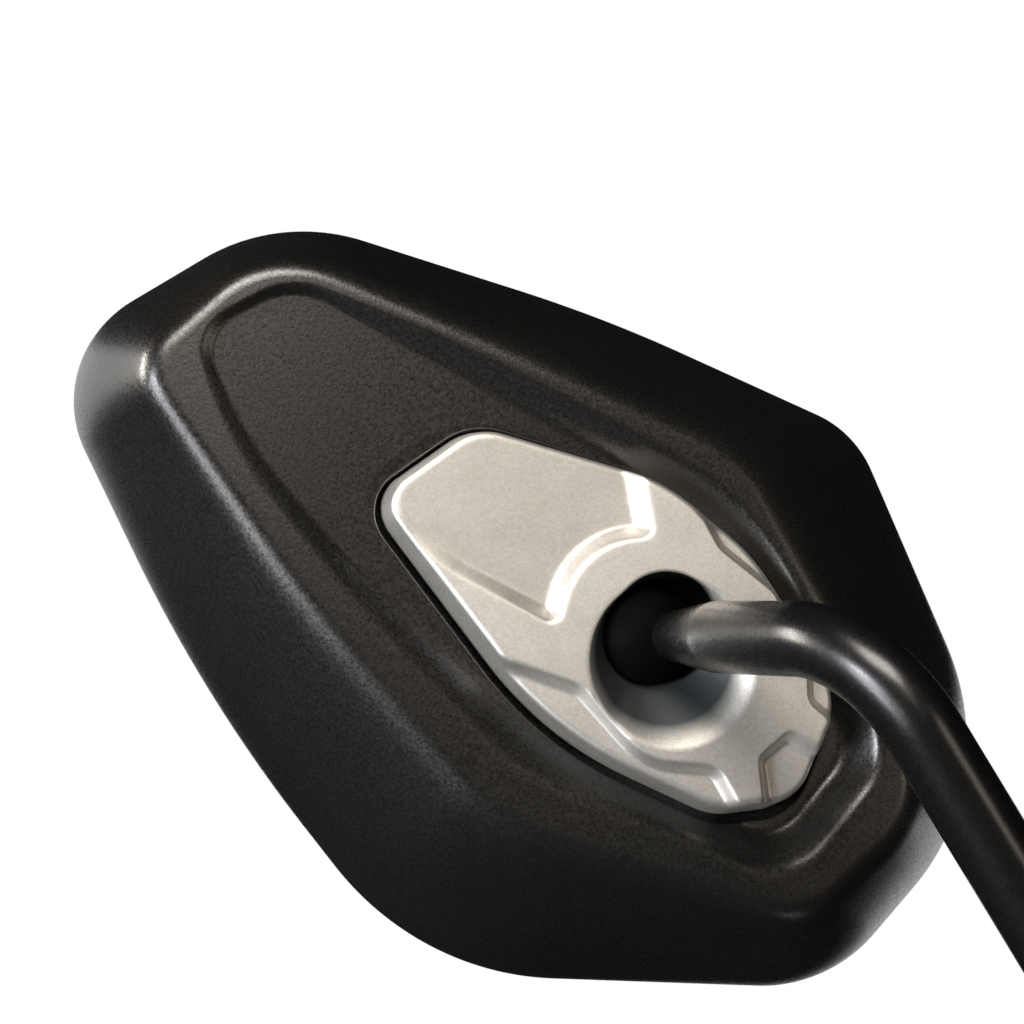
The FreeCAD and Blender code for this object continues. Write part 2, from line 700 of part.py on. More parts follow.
def make_cover_screws():
    drop = size("shell_wall") + size("screw_play") + size("screw_head_height")
    places = [Vector(place.x, place.y, recess_floor(place.x) - drop) for place in COVER_SPOTS]
    make_screws("cover_screws", "shell_wall + cover_screw_bite", places)


def curved_sheet(label, inset, front, thickness):
    """A sheet with the glass's curve, its front radius and thickness given as sums of sizes."""
    block = prism(f"{label}_block", corners("rim"), size("shell_wall") + inset,
                  size("bezel_front") - size("rim_overrun"), BALL_LEVEL)
    shell = combine("Cut", f"{label}_curve", big_ball(f"{label}_front", front),
                    big_ball(f"{label}_back", f"{front} - {thickness}"))
    return combine("Common", f"{label}_sheet", block, shell)


def make_glass():
    finish(curved_sheet("glass", size("glass_inset"), "glass_radius", "glass_thickness"),
           "mirror_glass", HEAD)
    finish(curved_sheet("foam", size("foam_inset"), FOAM_FRONT, "foam_thickness"),
           "foam_pad", HEAD)
    carrier = curved_sheet("carrier", size("backing_inset"), BACKING_FRONT, "backing_thickness")
    cone_drop = size("backing_head_sink") + size("backing_head_height")
    sinks = []
    for i, place in enumerate(POST_SPOTS):
        face = backing_face(place)
        sinks.append(rod_at(f"carrier_hole_{i}", "screw_radius + pass_gap", place, 0, BALL_LOCAL.z))
        sink = part("Cone", f"carrier_sink_{i}", Radius1="backing_head_radius + pass_gap",
                    Radius2="screw_radius + pass_gap", Height="backing_head_height")
        sink.Placement = Placement(Vector(place.x, place.y, face + size("backing_head_sink")),
                                   Rotation())
        mouth = rod_at(f"carrier_mouth_{i}", "backing_head_radius + pass_gap", place,
                       face - cone_drop, face + size("backing_head_sink"))
        sinks += [sink, mouth]
    finish(combine("Cut", "carrier_solid", carrier, fuse("carrier_cuts", sinks)),
           "backing_plate", HEAD)
    screw = turned("backing_screw_pattern", [
        ("0", "0"),
        ("backing_head_radius", "0"),
        ("screw_radius", "backing_head_height"),
        ("screw_radius", "backing_screw_length - backing_head_sink"),
        ("0", "backing_screw_length - backing_head_sink")])
    doc.recompute()
    places = [Vector(place.x, place.y, backing_face(place) + size("backing_head_sink"))
              for place in POST_SPOTS]
    finish(copies("backing_screw_group", screw, places), "backing_screws", HEAD)


def make_bezel():
    rim = corners("rim")
    front = size("bezel_front")
    inside = size("shell_wall")
    flange = prism("bezel_flange", rim, inside + size("bezel_flange_gap"), front, 0.0)
    wall = prism("bezel_wall", rim, inside + size("bezel_wall_inset"), front, size("bezel_depth"))
    below = front - size("rim_overrun")
    window = prism("bezel_window", rim, inside + size("bezel_lip_inset"), below, BALL_LEVEL)
    room = combine("Common", "bezel_room",
                   prism("bezel_room_block", rim, inside + size("glass_inset") - size("fit_gap"),
                         below, BALL_LEVEL),
                   big_ball("bezel_room_ball", "glass_radius + slide_gap"))
    ring = combine("Cut", "bezel_ring", fuse("bezel_blank", [flange, wall]),
                   fuse("bezel_cuts", [window, room]))
    finish(ring, "glass_bezel", HEAD)


make_stem()
make_lock_nut()
make_boot()
make_cup("seat_cup", "ball_radius + slide_gap", "seat_cup_wall", "cup_low_deg", "seat_cup_top_deg")
make_cup("pressure_cup", "ball_radius + slide_gap + seat_cup_wall + slide_gap", "pressure_cup_wall",
         "cup_low_deg", "pressure_cup_top_deg")
make_back_shell()
make_cover_plate()
make_cover_screws()
make_clamp()
make_glass()
make_bezel()
doc.recompute()

# Nothing is written unless every object and every sub-part came out whole
for item in doc.Objects:
    if {"Invalid", "Error"} & set(item.State):
        raise RuntimeError(f"{item.Name} failed: {item.State}")
for item in subparts:
    if item.Shape.isNull() or not item.Shape.isValid():
        raise RuntimeError(f"{item.Label} is not a valid shape")
os.makedirs("parts", exist_ok=True)
for item in subparts:
    item.Shape.exportStep(f"parts/{item.Label}.step")
    print(item.Label, len(item.Shape.Solids), "solids", round(item.Shape.Volume, 1), "mm3")
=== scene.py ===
# %% [markdown]
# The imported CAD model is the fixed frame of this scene: it says where every piece is and how it moves.
# Blender only adds looks. The pieces that the eye rests on are drawn again here as fine smooth surfaces,
# in the same place as the CAD node that they stand for, and the inner pieces keep their CAD shape.

# %% Load the frame
import json
import math

import bpy
import numpy as np
from mathutils import Matrix, Vector


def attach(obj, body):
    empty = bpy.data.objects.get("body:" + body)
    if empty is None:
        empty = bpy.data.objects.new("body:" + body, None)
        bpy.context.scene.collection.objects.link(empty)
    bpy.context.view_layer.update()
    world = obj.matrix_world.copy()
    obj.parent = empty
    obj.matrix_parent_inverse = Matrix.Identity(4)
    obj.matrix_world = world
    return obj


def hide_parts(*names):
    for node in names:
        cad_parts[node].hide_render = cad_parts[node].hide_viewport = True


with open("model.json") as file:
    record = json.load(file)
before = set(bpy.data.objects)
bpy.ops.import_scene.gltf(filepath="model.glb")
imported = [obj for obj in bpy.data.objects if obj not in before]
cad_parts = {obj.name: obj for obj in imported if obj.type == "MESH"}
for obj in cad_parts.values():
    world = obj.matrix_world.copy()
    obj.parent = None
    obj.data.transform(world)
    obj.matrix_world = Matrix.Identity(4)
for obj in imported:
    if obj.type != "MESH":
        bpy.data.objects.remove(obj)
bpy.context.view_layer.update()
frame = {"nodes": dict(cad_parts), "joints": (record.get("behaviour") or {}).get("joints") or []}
nodes = frame["nodes"]
joints = {joint["name"]: joint for joint in frame["joints"]}

# %% [markdown]
# All sizes are real millimetres, as on a workshop drawing, and turn to metres at the very end.
# The head has its own drawing axes: across (to the motorcycle's middle), up, and out (away from the
# rider), with the ball's axis at 0, 0 and the rim of the shell at level 0. The joint that twists the
# head tells where the ball is in the frame.

# %% From the head's drawing to the frame
MM = 0.001
BALL = np.array(joints["head_twist"]["pos_m"]) / MM
BALL_LEVEL = 27.5


def head_to_frame(points):
    """x = ball - across, y = ball - ball level + out, z = ball + up, still in millimetres."""
    across, up, out = np.moveaxis(points, -1, 0)
    return np.stack([BALL[0] - across, BALL[1] - BALL_LEVEL + out, BALL[2] + up], -1)


print("ball at", BALL.round(1), "mm")

# %% [markdown]
# Every new surface is a grid of points: rows along the piece and columns around it. One function turns
# such a grid into a mesh. Rows are closed around, and the last row may join the first, as on a tyre.
# The signed volume says whether the faces look inwards, and then their order is turned round.

# %% From a grid of points to a mesh
made = {}


def surface(name, points, joined_ends=False, sharp_deg=None):
    """A closed mesh from points[row, column], in millimetres; open ends get a flat lid."""
    rows, columns = points.shape[:2]
    index = np.arange(rows * columns).reshape(rows, columns)
    first = index if joined_ends else index[:-1]
    second = np.roll(index, -1, 0) if joined_ends else index[1:]
    quads = np.stack([first, np.roll(first, -1, 1), np.roll(second, -1, 1), second], -1).reshape(-1, 4)
    flat = points.reshape(-1, 3)
    a, b, c, d = (flat[quads[:, k]] for k in range(4))
    volume = np.einsum("ij,ij->", a, np.cross(b, c)) + np.einsum("ij,ij->", a, np.cross(c, d))
    lids = [] if joined_ends else [index[0][::-1].tolist(), index[-1].tolist()]
    for lid in lids:
        corner = flat[lid]
        volume += np.einsum("j,ij->", corner[0], np.cross(corner[1:-1], corner[2:]))
    faces = quads.tolist() + lids
    if volume < 0:
        faces = [face[::-1] for face in faces]
    mesh = bpy.data.meshes.new(name)
    mesh.from_pydata((flat * MM).tolist(), [], faces)
    mesh.polygons.foreach_set("use_smooth", np.ones(len(mesh.polygons), bool))
    if sharp_deg:
        mesh.set_sharp_from_angle(angle=math.radians(sharp_deg))
    mesh.validate()
    piece = bpy.data.objects.new(name, mesh)
    bpy.context.scene.collection.objects.link(piece)
    made[name] = piece
    print(name, rows, "x", columns, "points, volume", round(abs(volume) / 6), "mm3")
    return piece


# %% [markdown]
# The head is drawn from a few outlines with rounded corners, as the mould maker drew it: the rim, the
# ridge where the side wall turns into the back, the edge of the recess, and the silver plate. An
# outline is a list of corners with a radius each. To loft between outlines, all of them are cut by the
# same rays from one centre, so that point number k of one always faces point number k of the next.

# %% Outlines with rounded corners
RIM = [(-104, 24, 20), (-63.2, -24.6, 250), (-17.9, -59.7, 50), (51, -46.7, 26),
       (75.2, -4.3, 40), (36.2, 49.1, 18), (-13, 56.8, 250), (-72, 58.4, 34)]
RIDGE = [(-87.8, 20.5, 8), (-54, -8.8, 250), (-17, -34.9, 30), (34, -38.2, 11),
         (52, -14.2, 15), (9.3, 31.9, 17), (-30, 38.7, 250), (-72.5, 45, 18)]
RECESS = [(-80.8, 28.2, 8), (-70, 11.5, 60), (-44, -8.3, 250), (-15.5, -26, 45), (31, -32.5, 11),
          (42.5, -9.7, 10), (10, 26, 45), (-38, 36.8, 250), (-68, 40.6, 12)]
RECESS_FLOOR = [(-79.3, 27.9, 7), (-67, 12.6, 60), (-48.5, 0, 60), (-12.5, -20, 45), (28.5, -27, 9),
                (38.2, -9, 8), (9, 21.8, 45), (-38, 33, 250), (-67, 39.6, 11)]
PLATE = [(-48, 9.5, 6), (-12, -19.5, 60), (17, -25.2, 12), (29.5, -20.5, 9),
         (32.8, -2.5, 10), (14, 17, 30), (-4, 24.8, 30), (-34.5, 25.5, 10)]


def outline(corners, inset=0.0, arc_points=25, side_points=25):
    """Points round a closed outline: straight sides moved inwards by inset, joined by arcs about the
    same centres as before. An arc from angle a to b is centre + radius * (cos, sin)."""
    corners = np.array(corners, float)
    place, radius = corners[:, :2], corners[:, 2]
    into = place - np.roll(place, 1, 0)
    into /= np.linalg.norm(into, axis=1)[:, None]
    out = np.roll(into, -1, 0)
    turn = into[:, 0] * out[:, 1] - into[:, 1] * out[:, 0]
    side = np.sign(turn.sum())
    bend = np.sign(turn * side)
    normal = np.stack([-into[:, 1], into[:, 0]], 1) * side
    middle = normal + np.roll(normal, -1, 0)
    middle /= (middle ** 2).sum(1)[:, None] / 2
    centre = place + middle * (radius * bend)[:, None]
    start = centre - normal * (radius * bend)[:, None]
    stop = centre - np.roll(normal, -1, 0) * (radius * bend)[:, None]
    kept = np.maximum(radius - inset * bend, 0.05) / radius
    start, stop = centre + (start - centre) * kept[:, None], centre + (stop - centre) * kept[:, None]
    angle = np.arctan2(*(start - centre).T[::-1])
    sweep = np.arctan2(turn, (into * out).sum(1))
    steps = np.linspace(0, 1, arc_points)
    swing = angle[:, None] + sweep[:, None] * steps
    arm = (radius * kept)[:, None, None]
    arcs = centre[:, None] + np.stack([np.cos(swing), np.sin(swing)], -1) * arm
    share = np.linspace(0, 1, side_points)[1:-1, None]
    sides = stop[:, None] * (1 - share) + np.roll(start, -1, 0)[:, None] * share
    return np.concatenate([arcs, sides], 1).reshape(-1, 2)


def circle(centre, radius):
    """A circle as an outline: a square whose corners are rounded until they meet."""
    x, y = centre
    return outline([(x - radius, y - radius, radius), (x + radius, y - radius, radius),
                    (x + radius, y + radius, radius), (x - radius, y + radius, radius)])


def cut_by_rays(points, centre, rays):
    """Where rays from the centre meet an outline: its radius is read at each ray's angle."""
    away = points - centre
    angle = np.arctan2(away[:, 1], away[:, 0])
    order = np.argsort(angle)
    radius = np.interp(rays, angle[order], np.hypot(*away.T)[order], period=2 * np.pi)
    return centre + np.stack([np.cos(rays), np.sin(rays)], -1) * radius[:, None]


def even_rays(points, centre, count):
    """Angles of rays that meet an outline at even steps along its length."""
    loop = np.concatenate([points, points[:1]])
    along = np.concatenate([[0], np.cumsum(np.hypot(*np.diff(loop, axis=0).T))])
    even = np.linspace(0, along[-1], count, endpoint=False)
    spots = np.stack([np.interp(even, along, loop[:, k]) for k in range(2)], -1) - centre
    return np.sort(np.arctan2(spots[:, 1], spots[:, 0]))


def plane(level, slope_deg, flat):
    """Height of a plane that starts at a level and rises with the way across: level + across * tan."""
    return level + flat[..., 0] * math.tan(math.radians(slope_deg))


def raised(flat, height):
    """Flat points with their heights as third coordinate."""
    return np.concatenate([flat, np.broadcast_to(height, flat.shape[:-1])[..., None]], -1)


def on_sphere(around, climb):
    """Points of the unit sphere at two angles: (cos * cos, sin * cos, sin)."""
    return np.stack([np.cos(around) * np.cos(climb), np.sin(around) * np.cos(climb), np.sin(climb)], -1)


def full_turn(sides):
    """Even angles once round, as one row."""
    return np.linspace(0, 2 * np.pi, sides, endpoint=False)[None, :]


def turned(radius, level, turn):
    """Points round the upright axis: (radius * cos, radius * sin, level)."""
    return np.stack([radius * np.cos(turn), radius * np.sin(turn), level + 0 * radius * turn], -1)


def bezier(t, first, second):
    """A curve from 0 to 1 with two control values: 3t(1-t)^2 * first + 3t^2(1-t) * second + t^3."""
    return 3 * t * (1 - t) ** 2 * first + 3 * t ** 2 * (1 - t) * second + t ** 3


def bend_over(before, edge, after, count):
    """Rows that round an edge: (1-t)^2 * before + 2t(1-t) * edge + t^2 * after, a parabola's arc."""
    t = np.linspace(0, 1, count)[:, None, None]
    return (1 - t) ** 2 * before + 2 * t * (1 - t) * edge + t ** 2 * after


def soft_ramp(share, sharpness=11.0):
    """0 below 0, 1 above 1 and straight between, with both corners rounded: the difference of two
    soft hinges log(1 + exp(k * x)) / k."""
    return (np.logaddexp(0, sharpness * share) - np.logaddexp(0, sharpness * (share - 1))) / sharpness


def between(first, last, count):
    """Evenly spaced rows from one row to another, without the two themselves."""
    t = np.linspace(0, 1, count + 2)[1:-1, None, None]
    return (1 - t) * first + t * last


print("rim", np.ptp(outline(RIM), axis=0).round(1), "mm")

# %% [markdown]
# The back shell is one moulded piece. Its side wall climbs steeply from the rim and leans over towards
# the ridge, which a Bezier curve in two shares describes: how far from the rim's outline to the
# ridge's, and how far up. Then come the rounded ridge, the flat shoulder, the bank of the recess and
# the recess floor with a groove round the silver plate. From the shoulder inwards the height is the
# shoulder's plane less the recess depth times a soft ramp between the recess's edge and its floor.
# The inside follows as further rows, and the last row joins the first, so the shell is a closed skin
# with a real thickness.

# %% Back shell
SHELL_COLUMNS = 620
SHELL_CENTRE = np.array([-10.0, 0.0])
SHOULDER, SHOULDER_SLOPE = 32.0, 1.4
FLOOR, FLOOR_SLOPE = 28.4, -0.8
WALL = 2.5
WALL_LEAN, WALL_CLIMB = (0.08, 0.45), (0.30, 0.68)
RIDGE_START, RIDGE_ROUND = 0.91, 2.3
COLLAR_HOLE = 12.8
# the groove follows the plate's outline, moved down a little, and its wall stands outside it by these
GROOVE = np.array(PLATE) + (0.1, -0.6, 0)
GROOVE_EDGE, GROOVE_CORNER, GROOVE_WALL, GROOVE_FOOT = 1.2, 0.9, 0.85, 0.7
GROOVE_BREAK, GROOVE_DEPTH = 0.5, 1.6
rays = even_rays(outline(np.array(RIM) * 0.4 + np.array(RIDGE) * 0.6), SHELL_CENTRE, SHELL_COLUMNS)


def wall_row(t, inset=0.0):
    """One row of the side wall at t from 0, the rim, to 1, the ridge."""
    share, rise = bezier(t, *WALL_LEAN), bezier(t, *WALL_CLIMB)
    drawn = np.array(RIM) * (1 - share) + np.array(RIDGE) * share
    flat = cut_by_rays(outline(drawn, inset), SHELL_CENTRE, rays)
    return raised(flat, plane(rise * (SHOULDER - inset), rise * SHOULDER_SLOPE, flat))


def reach(corners, inset=0.0):
    """Distance from the centre to an outline along each ray."""
    return np.hypot(*(cut_by_rays(outline(corners, inset), SHELL_CENTRE, rays) - SHELL_CENTRE).T)


def at_reach(radius):
    """The points at a distance from the centre along each ray."""
    return SHELL_CENTRE + np.stack([np.cos(rays), np.sin(rays)], -1) * radius[..., None]


recess_edge, recess_foot = reach(RECESS), reach(RECESS_FLOOR)


def back_row(radius, drop=0.0):
    """A row of the back at a distance from the centre: shoulder - depth * soft_ramp(share of the bank)."""
    flat = at_reach(radius)
    shoulder = plane(SHOULDER, SHOULDER_SLOPE, flat)
    depth = shoulder - plane(FLOOR, FLOOR_SLOPE, flat)
    ramp = soft_ramp((recess_edge - radius) / (recess_edge - recess_foot))
    return raised(flat, shoulder - depth * ramp - drop)


def radii_between(first, last, count):
    """Evenly spaced distances, the last one left out."""
    return first + (last - first) * np.linspace(0, 1, count, endpoint=False)[:, None]


def hole_row(radius, drop):
    """A row round the hole for the ball socket's collar, below the recess floor by drop."""
    flat = cut_by_rays(circle((0, 0), radius), np.zeros(2), rays)
    return raised(flat, plane(FLOOR, FLOOR_SLOPE, flat) - drop)


lip_out = wall_row(0.0)
wall_rows = [wall_row(t) for t in np.linspace(0.02, RIDGE_START, 40)]
ridge_reach = reach(RIDGE)
ridge_line = raised(at_reach(ridge_reach), plane(SHOULDER, SHOULDER_SLOPE, at_reach(ridge_reach)))
shoulder_in = reach(RIDGE, RIDGE_ROUND)
groove_out = reach(GROOVE, -GROOVE_EDGE)
# the rows are dense on the bank of the recess and a little past both its ends
bank_wide = 0.35 * (recess_edge - recess_foot)
bank_start = np.minimum(recess_edge + bank_wide, shoulder_in - 0.3)
bank_stop = np.maximum(recess_foot - bank_wide, groove_out + 0.4)
back_radii = np.concatenate([radii_between(shoulder_in, bank_start, 6),
                             radii_between(bank_start, bank_stop, 24),
                             radii_between(bank_stop, groove_out, 14)])
back_rows = np.stack([back_row(radius) for radius in back_radii])
inner_wall = [wall_row(t, WALL) for t in np.linspace(0.93, 0.0, 9)]
shell_rows = np.concatenate([
    lip_out[None], wall_rows,
    bend_over(wall_rows[-1], ridge_line, back_rows[0], 9)[1:-1],
    back_rows,
    bend_over(back_row(groove_out), back_row(reach(GROOVE, -GROOVE_CORNER)),
              back_row(reach(GROOVE, -GROOVE_WALL), GROOVE_BREAK), 5),
    back_row(reach(GROOVE, -GROOVE_FOOT), GROOVE_DEPTH)[None],
    hole_row(COLLAR_HOLE, GROOVE_DEPTH)[None], hole_row(COLLAR_HOLE, WALL)[None],
    back_row(recess_foot, WALL + 0.4)[None], inner_wall])
shell = surface("shell", head_to_frame(shell_rows), joined_ends=True)

# %% [markdown]
# The silver plate is drawn by rays from a point in its ball socket: outwards lie the dish, the top
# face and the bevelled side. The top face is a height field. It starts as a sloping plane, and each
# lowered area takes away a depth times a soft ramp of the distance inside the area's outline, so that
# its walls lean and their edges are round, as paint and moulding leave them.

# %% Signed distance to a lowered area
def inside_distance(flat, loop):
    """Distance to a closed outline, positive inside: the least distance to its segments, and a
    crossing count for the sign."""
    least = np.full(flat.shape[:-1], np.inf)
    crossings = np.zeros(flat.shape[:-1], int)
    for start, stop in zip(loop, np.roll(loop, -1, 0)):
        run = stop - start
        span = max(run @ run, 1e-12)
        away = flat - start
        share = np.clip(away @ run / span, 0, 1)
        least = np.minimum(least, np.linalg.norm(away - share[..., None] * run, axis=-1))
        straddles = (start[1] > flat[..., 1]) != (stop[1] > flat[..., 1])
        if abs(run[1]) > 1e-12:
            meets = start[0] + run[0] * (flat[..., 1] - start[1]) / run[1]
            crossings += straddles & (flat[..., 0] < meets)
    return np.where(crossings % 2, least, -least)


# %% Top of the silver plate
PLATE_LEVEL, PLATE_SLOPE = 35.0, 1.9
FACET = [(-60, 10, 1), (-32, 0.9, 9), (-14.6, -3.2, 2), (-14.4, 10.0, 13), (-3.0, 14.6, 2),
         (-14, 40, 1), (-60, 40, 1)]
LOWER_SHELF = [(-34, -40, 1), (23.0, -40, 1), (21.6, -25.5, 3), (14.6, -17.9, 4),
               (3.5, -19.6, 10), (-9.0, -11.0, 5), (-24, -9.6, 4), (-34, -4, 1)]
UPPER_SHELF = [(50, -12, 1), (34, -8.6, 2), (26.4, -4.8, 3), (25.0, 1.5, 6), (18.0, 10.4, 8),
               (7.5, 15.2, 5), (-4, 28, 3), (0, 40, 1), (50, 40, 1)]
CORNER_POCKET = [(24.6, -27, 3), (20.4, -15.2, 2), (24.4, -9.8, 2), (34, -12.6, 3),
                 (50, -16, 1), (50, -40, 1), (28, -40, 1)]
FACET_DATUM, FACET_DEPTH, FACET_TILT, FACET_BANK = -12.0, 2.3, 4.2, 2.3
# outline, depth and width of the bank
LOWERED = ((LOWER_SHELF, 1.9, 1.4), (UPPER_SHELF, 1.7, 1.3), (CORNER_POCKET, 2.0, 1.4))


def plate_top(flat):
    """Height of the plate's top face: the plane less each area's depth times its ramp."""
    height = plane(PLATE_LEVEL, PLATE_SLOPE, flat)
    gain = math.tan(math.radians(PLATE_SLOPE)) + math.tan(math.radians(FACET_TILT - PLATE_SLOPE))
    facet_depth = np.maximum(FACET_DEPTH + (flat[..., 0] - FACET_DATUM) * gain, 0)
    for area, depth, bank in ((FACET, facet_depth, FACET_BANK), *LOWERED):
        height = height - depth * soft_ramp(inside_distance(flat, outline(area, 0, 9, 3)) / bank)
    return height


print("top face below the dish", plate_top(np.array([[-4.0, -12.0]])).round(2), "mm")

# %% Silver plate
PLATE_COLUMNS = 600
PLATE_CENTRE = np.array([1.0, -1.0])
PLATE_BEVEL = 1.2
PLATE_SUNK = 1.5
# the round of the top edge takes up these shares of the bevel and of the first 5 mm inwards
EDGE_BELOW, EDGE_INSIDE, EDGE_INWARDS = 0.16, 0.22, 5.0
DISH_CENTRE, DISH, DISH_ROUND = (4.1, -4.0), 13.3, 0.6
MOUTH_CENTRE, MOUTH, MOUTH_LEVEL, MOUTH_SLOPE = (0.89, -0.7), 7.7, BALL_LEVEL + 3.29, -5.0
SOCKET, SOCKET_CENTRE = 8.58, np.array([0, 0, BALL_LEVEL])
COLLAR, COLLAR_FOOT, COLLAR_TOP = 12.4, 26.4, 27.0
plate_rays = even_rays(outline(PLATE, 4), PLATE_CENTRE, PLATE_COLUMNS)


def plate_row(inset):
    """The plate's outline, moved inwards."""
    return cut_by_rays(outline(PLATE, inset), PLATE_CENTRE, plate_rays)


def circle_row(centre, radius):
    """A circle, cut by the plate's rays."""
    return cut_by_rays(circle(centre, radius), PLATE_CENTRE, plate_rays)


def on_top(flat):
    """Flat points, lifted to the plate's top face."""
    return raised(flat, plate_top(flat))


def share_to_ball(start, way):
    """Share s at which start + s * way meets the socket's ball: the smaller root of
    |start + s * way - centre| = radius, or 1 where the way misses the ball."""
    off = start - SOCKET_CENTRE
    squared, half = (way ** 2).sum(1), (off * way).sum(1)
    rest = (off ** 2).sum(1) - SOCKET ** 2
    root = np.sqrt(np.maximum(half ** 2 - squared * rest, 0))
    return np.clip(np.where(half ** 2 > squared * rest, (-half - root) / squared, 1), 0, 1)


foot_flat = plate_row(0.0)
foot = raised(foot_flat, plane(FLOOR, FLOOR_SLOPE, foot_flat) - PLATE_SUNK)
floor_edge = raised(foot_flat, plane(FLOOR, FLOOR_SLOPE, foot_flat))
face_flat = plate_row(PLATE_BEVEL)
face_edge = raised(face_flat, plane(PLATE_LEVEL, PLATE_SLOPE, face_flat))
# the bevel ends where it meets the top face, lower down where a shelf runs off the plate
share = np.ones(PLATE_COLUMNS)
for _ in range(4):
    edge = floor_edge + (face_edge - floor_edge) * share[:, None]
    share = (plate_top(edge[:, :2]) - floor_edge[:, 2]) / (face_edge - floor_edge)[:, 2]
edge_below = floor_edge + (face_edge - floor_edge) * (share - EDGE_BELOW)[:, None]
edge_inside = on_top(edge[:, :2] + (plate_row(EDGE_INWARDS) - foot_flat) * EDGE_INSIDE)
brim = on_top(circle_row(DISH_CENTRE, DISH))
brim_outside = on_top(circle_row(DISH_CENTRE, DISH + DISH_ROUND))
mouth_flat = circle_row(MOUTH_CENTRE, MOUTH)
mouth = raised(mouth_flat, plane(MOUTH_LEVEL, MOUTH_SLOPE, mouth_flat - MOUTH_CENTRE))
# the dish ends where its slope meets the socket's ball, and the ball's wall goes down from there
mouth = brim + (mouth - brim) * share_to_ball(brim, mouth - brim)[:, None]
across, up, out = (mouth - SOCKET_CENTRE).T
lower = np.arctan2(out, np.hypot(across, up)) * np.linspace(0.9, 0, 6)[:, None]
socket_rows = SOCKET_CENTRE + SOCKET * on_sphere(np.arctan2(up, across), lower)
# the dish is straight between the rounds of its brim and its mouth
dish_high = brim + (mouth - brim) * 0.06
dish_low = brim + (mouth - brim) * 0.9
t = np.linspace(0, 1, 92)[:, None, None]
top_flat = (1 - t) * edge_inside[:, :2] + t * brim_outside[:, :2]
plate_rows = np.concatenate([
    foot[None], between(foot, edge_below, 6),
    bend_over(edge_below, edge, edge_inside, 8)[:-1],
    on_top(top_flat),
    bend_over(brim_outside, brim, dish_high, 5)[1:],
    between(dish_high, dish_low, 16),
    bend_over(dish_low, mouth, socket_rows[0], 7)[:-1], socket_rows,
    *(raised(circle_row((0, 0), radius), level)[None]
      for radius, level in ((SOCKET, COLLAR_FOOT), (COLLAR, COLLAR_FOOT), (COLLAR, COLLAR_TOP)))])
plate = surface("plate", head_to_frame(plate_rows), joined_ends=True)

# %% [markdown]
# Behind the rim lies what the rider sees: the convex glass and the dark bezel that holds its edge.
# The glass is part of a large sphere, so its height is the sagitta of the distance from its middle.
# The bezel is a profile carried round the rim's outline; its lip follows the glass.

# %% Glass and bezel
GLASS_RADIUS, GLASS_FRONT, GLASS_THICK = 1200.0, -1.4, 2.6
GLASS_CENTRE = np.array([-15.0, 1.5])
GLASS_INSET = 7.5
BEZEL_SIDE, BEZEL_FRONT, BEZEL_LIP = 3.2, -2.0, 9.0
BEZEL_SEAT, BEZEL_TONGUE, TONGUE_END = 7.3, 5.8, 5.0
glass_rays = even_rays(outline(RIM, GLASS_INSET), GLASS_CENTRE, 320)


def rim_row(inset):
    """The rim's outline, moved inwards."""
    return cut_by_rays(outline(RIM, inset), GLASS_CENTRE, glass_rays)


def glass_face(flat, behind=0.0):
    """Front of the glass, or a surface behind it: level + radius - sqrt(radius^2 - distance^2)."""
    off = ((flat - GLASS_CENTRE) ** 2).sum(-1)
    radius = GLASS_RADIUS - behind
    return GLASS_FRONT + GLASS_RADIUS - np.sqrt(radius ** 2 - off)


def glass_row(inset, behind, share=1.0):
    """A row of the glass at a share of the way from its middle to its edge."""
    flat = GLASS_CENTRE + (rim_row(inset) - GLASS_CENTRE) * share
    return raised(flat, glass_face(flat, behind))


glass_rows = np.stack(
    [glass_row(GLASS_INSET + 0.5, 0.0, share) for share in np.linspace(0.004, 1, 40)]
    + [glass_row(GLASS_INSET + 0.1, 0.12), glass_row(GLASS_INSET, 0.5)]
    + [glass_row(GLASS_INSET, GLASS_THICK - 0.4)]
    + [glass_row(GLASS_INSET + 0.4, GLASS_THICK, share) for share in np.linspace(1, 0.004, 12)])
glass = surface("glass", head_to_frame(glass_rows))


def bezel_row(inset, level):
    """A level row of the bezel."""
    return raised(rim_row(inset), level)


def near_glass(inset, gap):
    """A row of the bezel that follows the glass's front at a small gap."""
    flat = rim_row(inset)
    return raised(flat, glass_face(flat) - gap)


bezel_rows = np.concatenate([
    bezel_row(BEZEL_SIDE, 0.0)[None], bezel_row(BEZEL_SIDE, -1.0)[None],
    bend_over(bezel_row(BEZEL_SIDE, -1.2), bezel_row(BEZEL_SIDE, BEZEL_FRONT),
              bezel_row(BEZEL_SIDE + 1.0, BEZEL_FRONT), 6),
    bend_over(bezel_row(BEZEL_LIP - 1.0, BEZEL_FRONT), bezel_row(BEZEL_LIP, BEZEL_FRONT),
              near_glass(BEZEL_LIP, 0.2), 6),
    near_glass(BEZEL_LIP, 0.05)[None], near_glass(BEZEL_SEAT, 0.05)[None],
    bezel_row(BEZEL_SEAT, TONGUE_END)[None], bezel_row(BEZEL_TONGUE, TONGUE_END)[None],
    bezel_row(BEZEL_TONGUE, 0.0)[None]])
bezel = surface("bezel", head_to_frame(bezel_rows), joined_ends=True)

# %% [markdown]
# The stem is a steel rod that was bent twice and ends in a forged ball. Its centre line has straight
# runs and two arcs, and a circle is carried along it with a radius that changes: the cone above the
# thread, the rod, the tapered neck, and the ball, whose radius at a distance d from its centre is
# sqrt(R^2 - d^2). Each circle's frame is the last one turned by the least angle, so nothing twists.

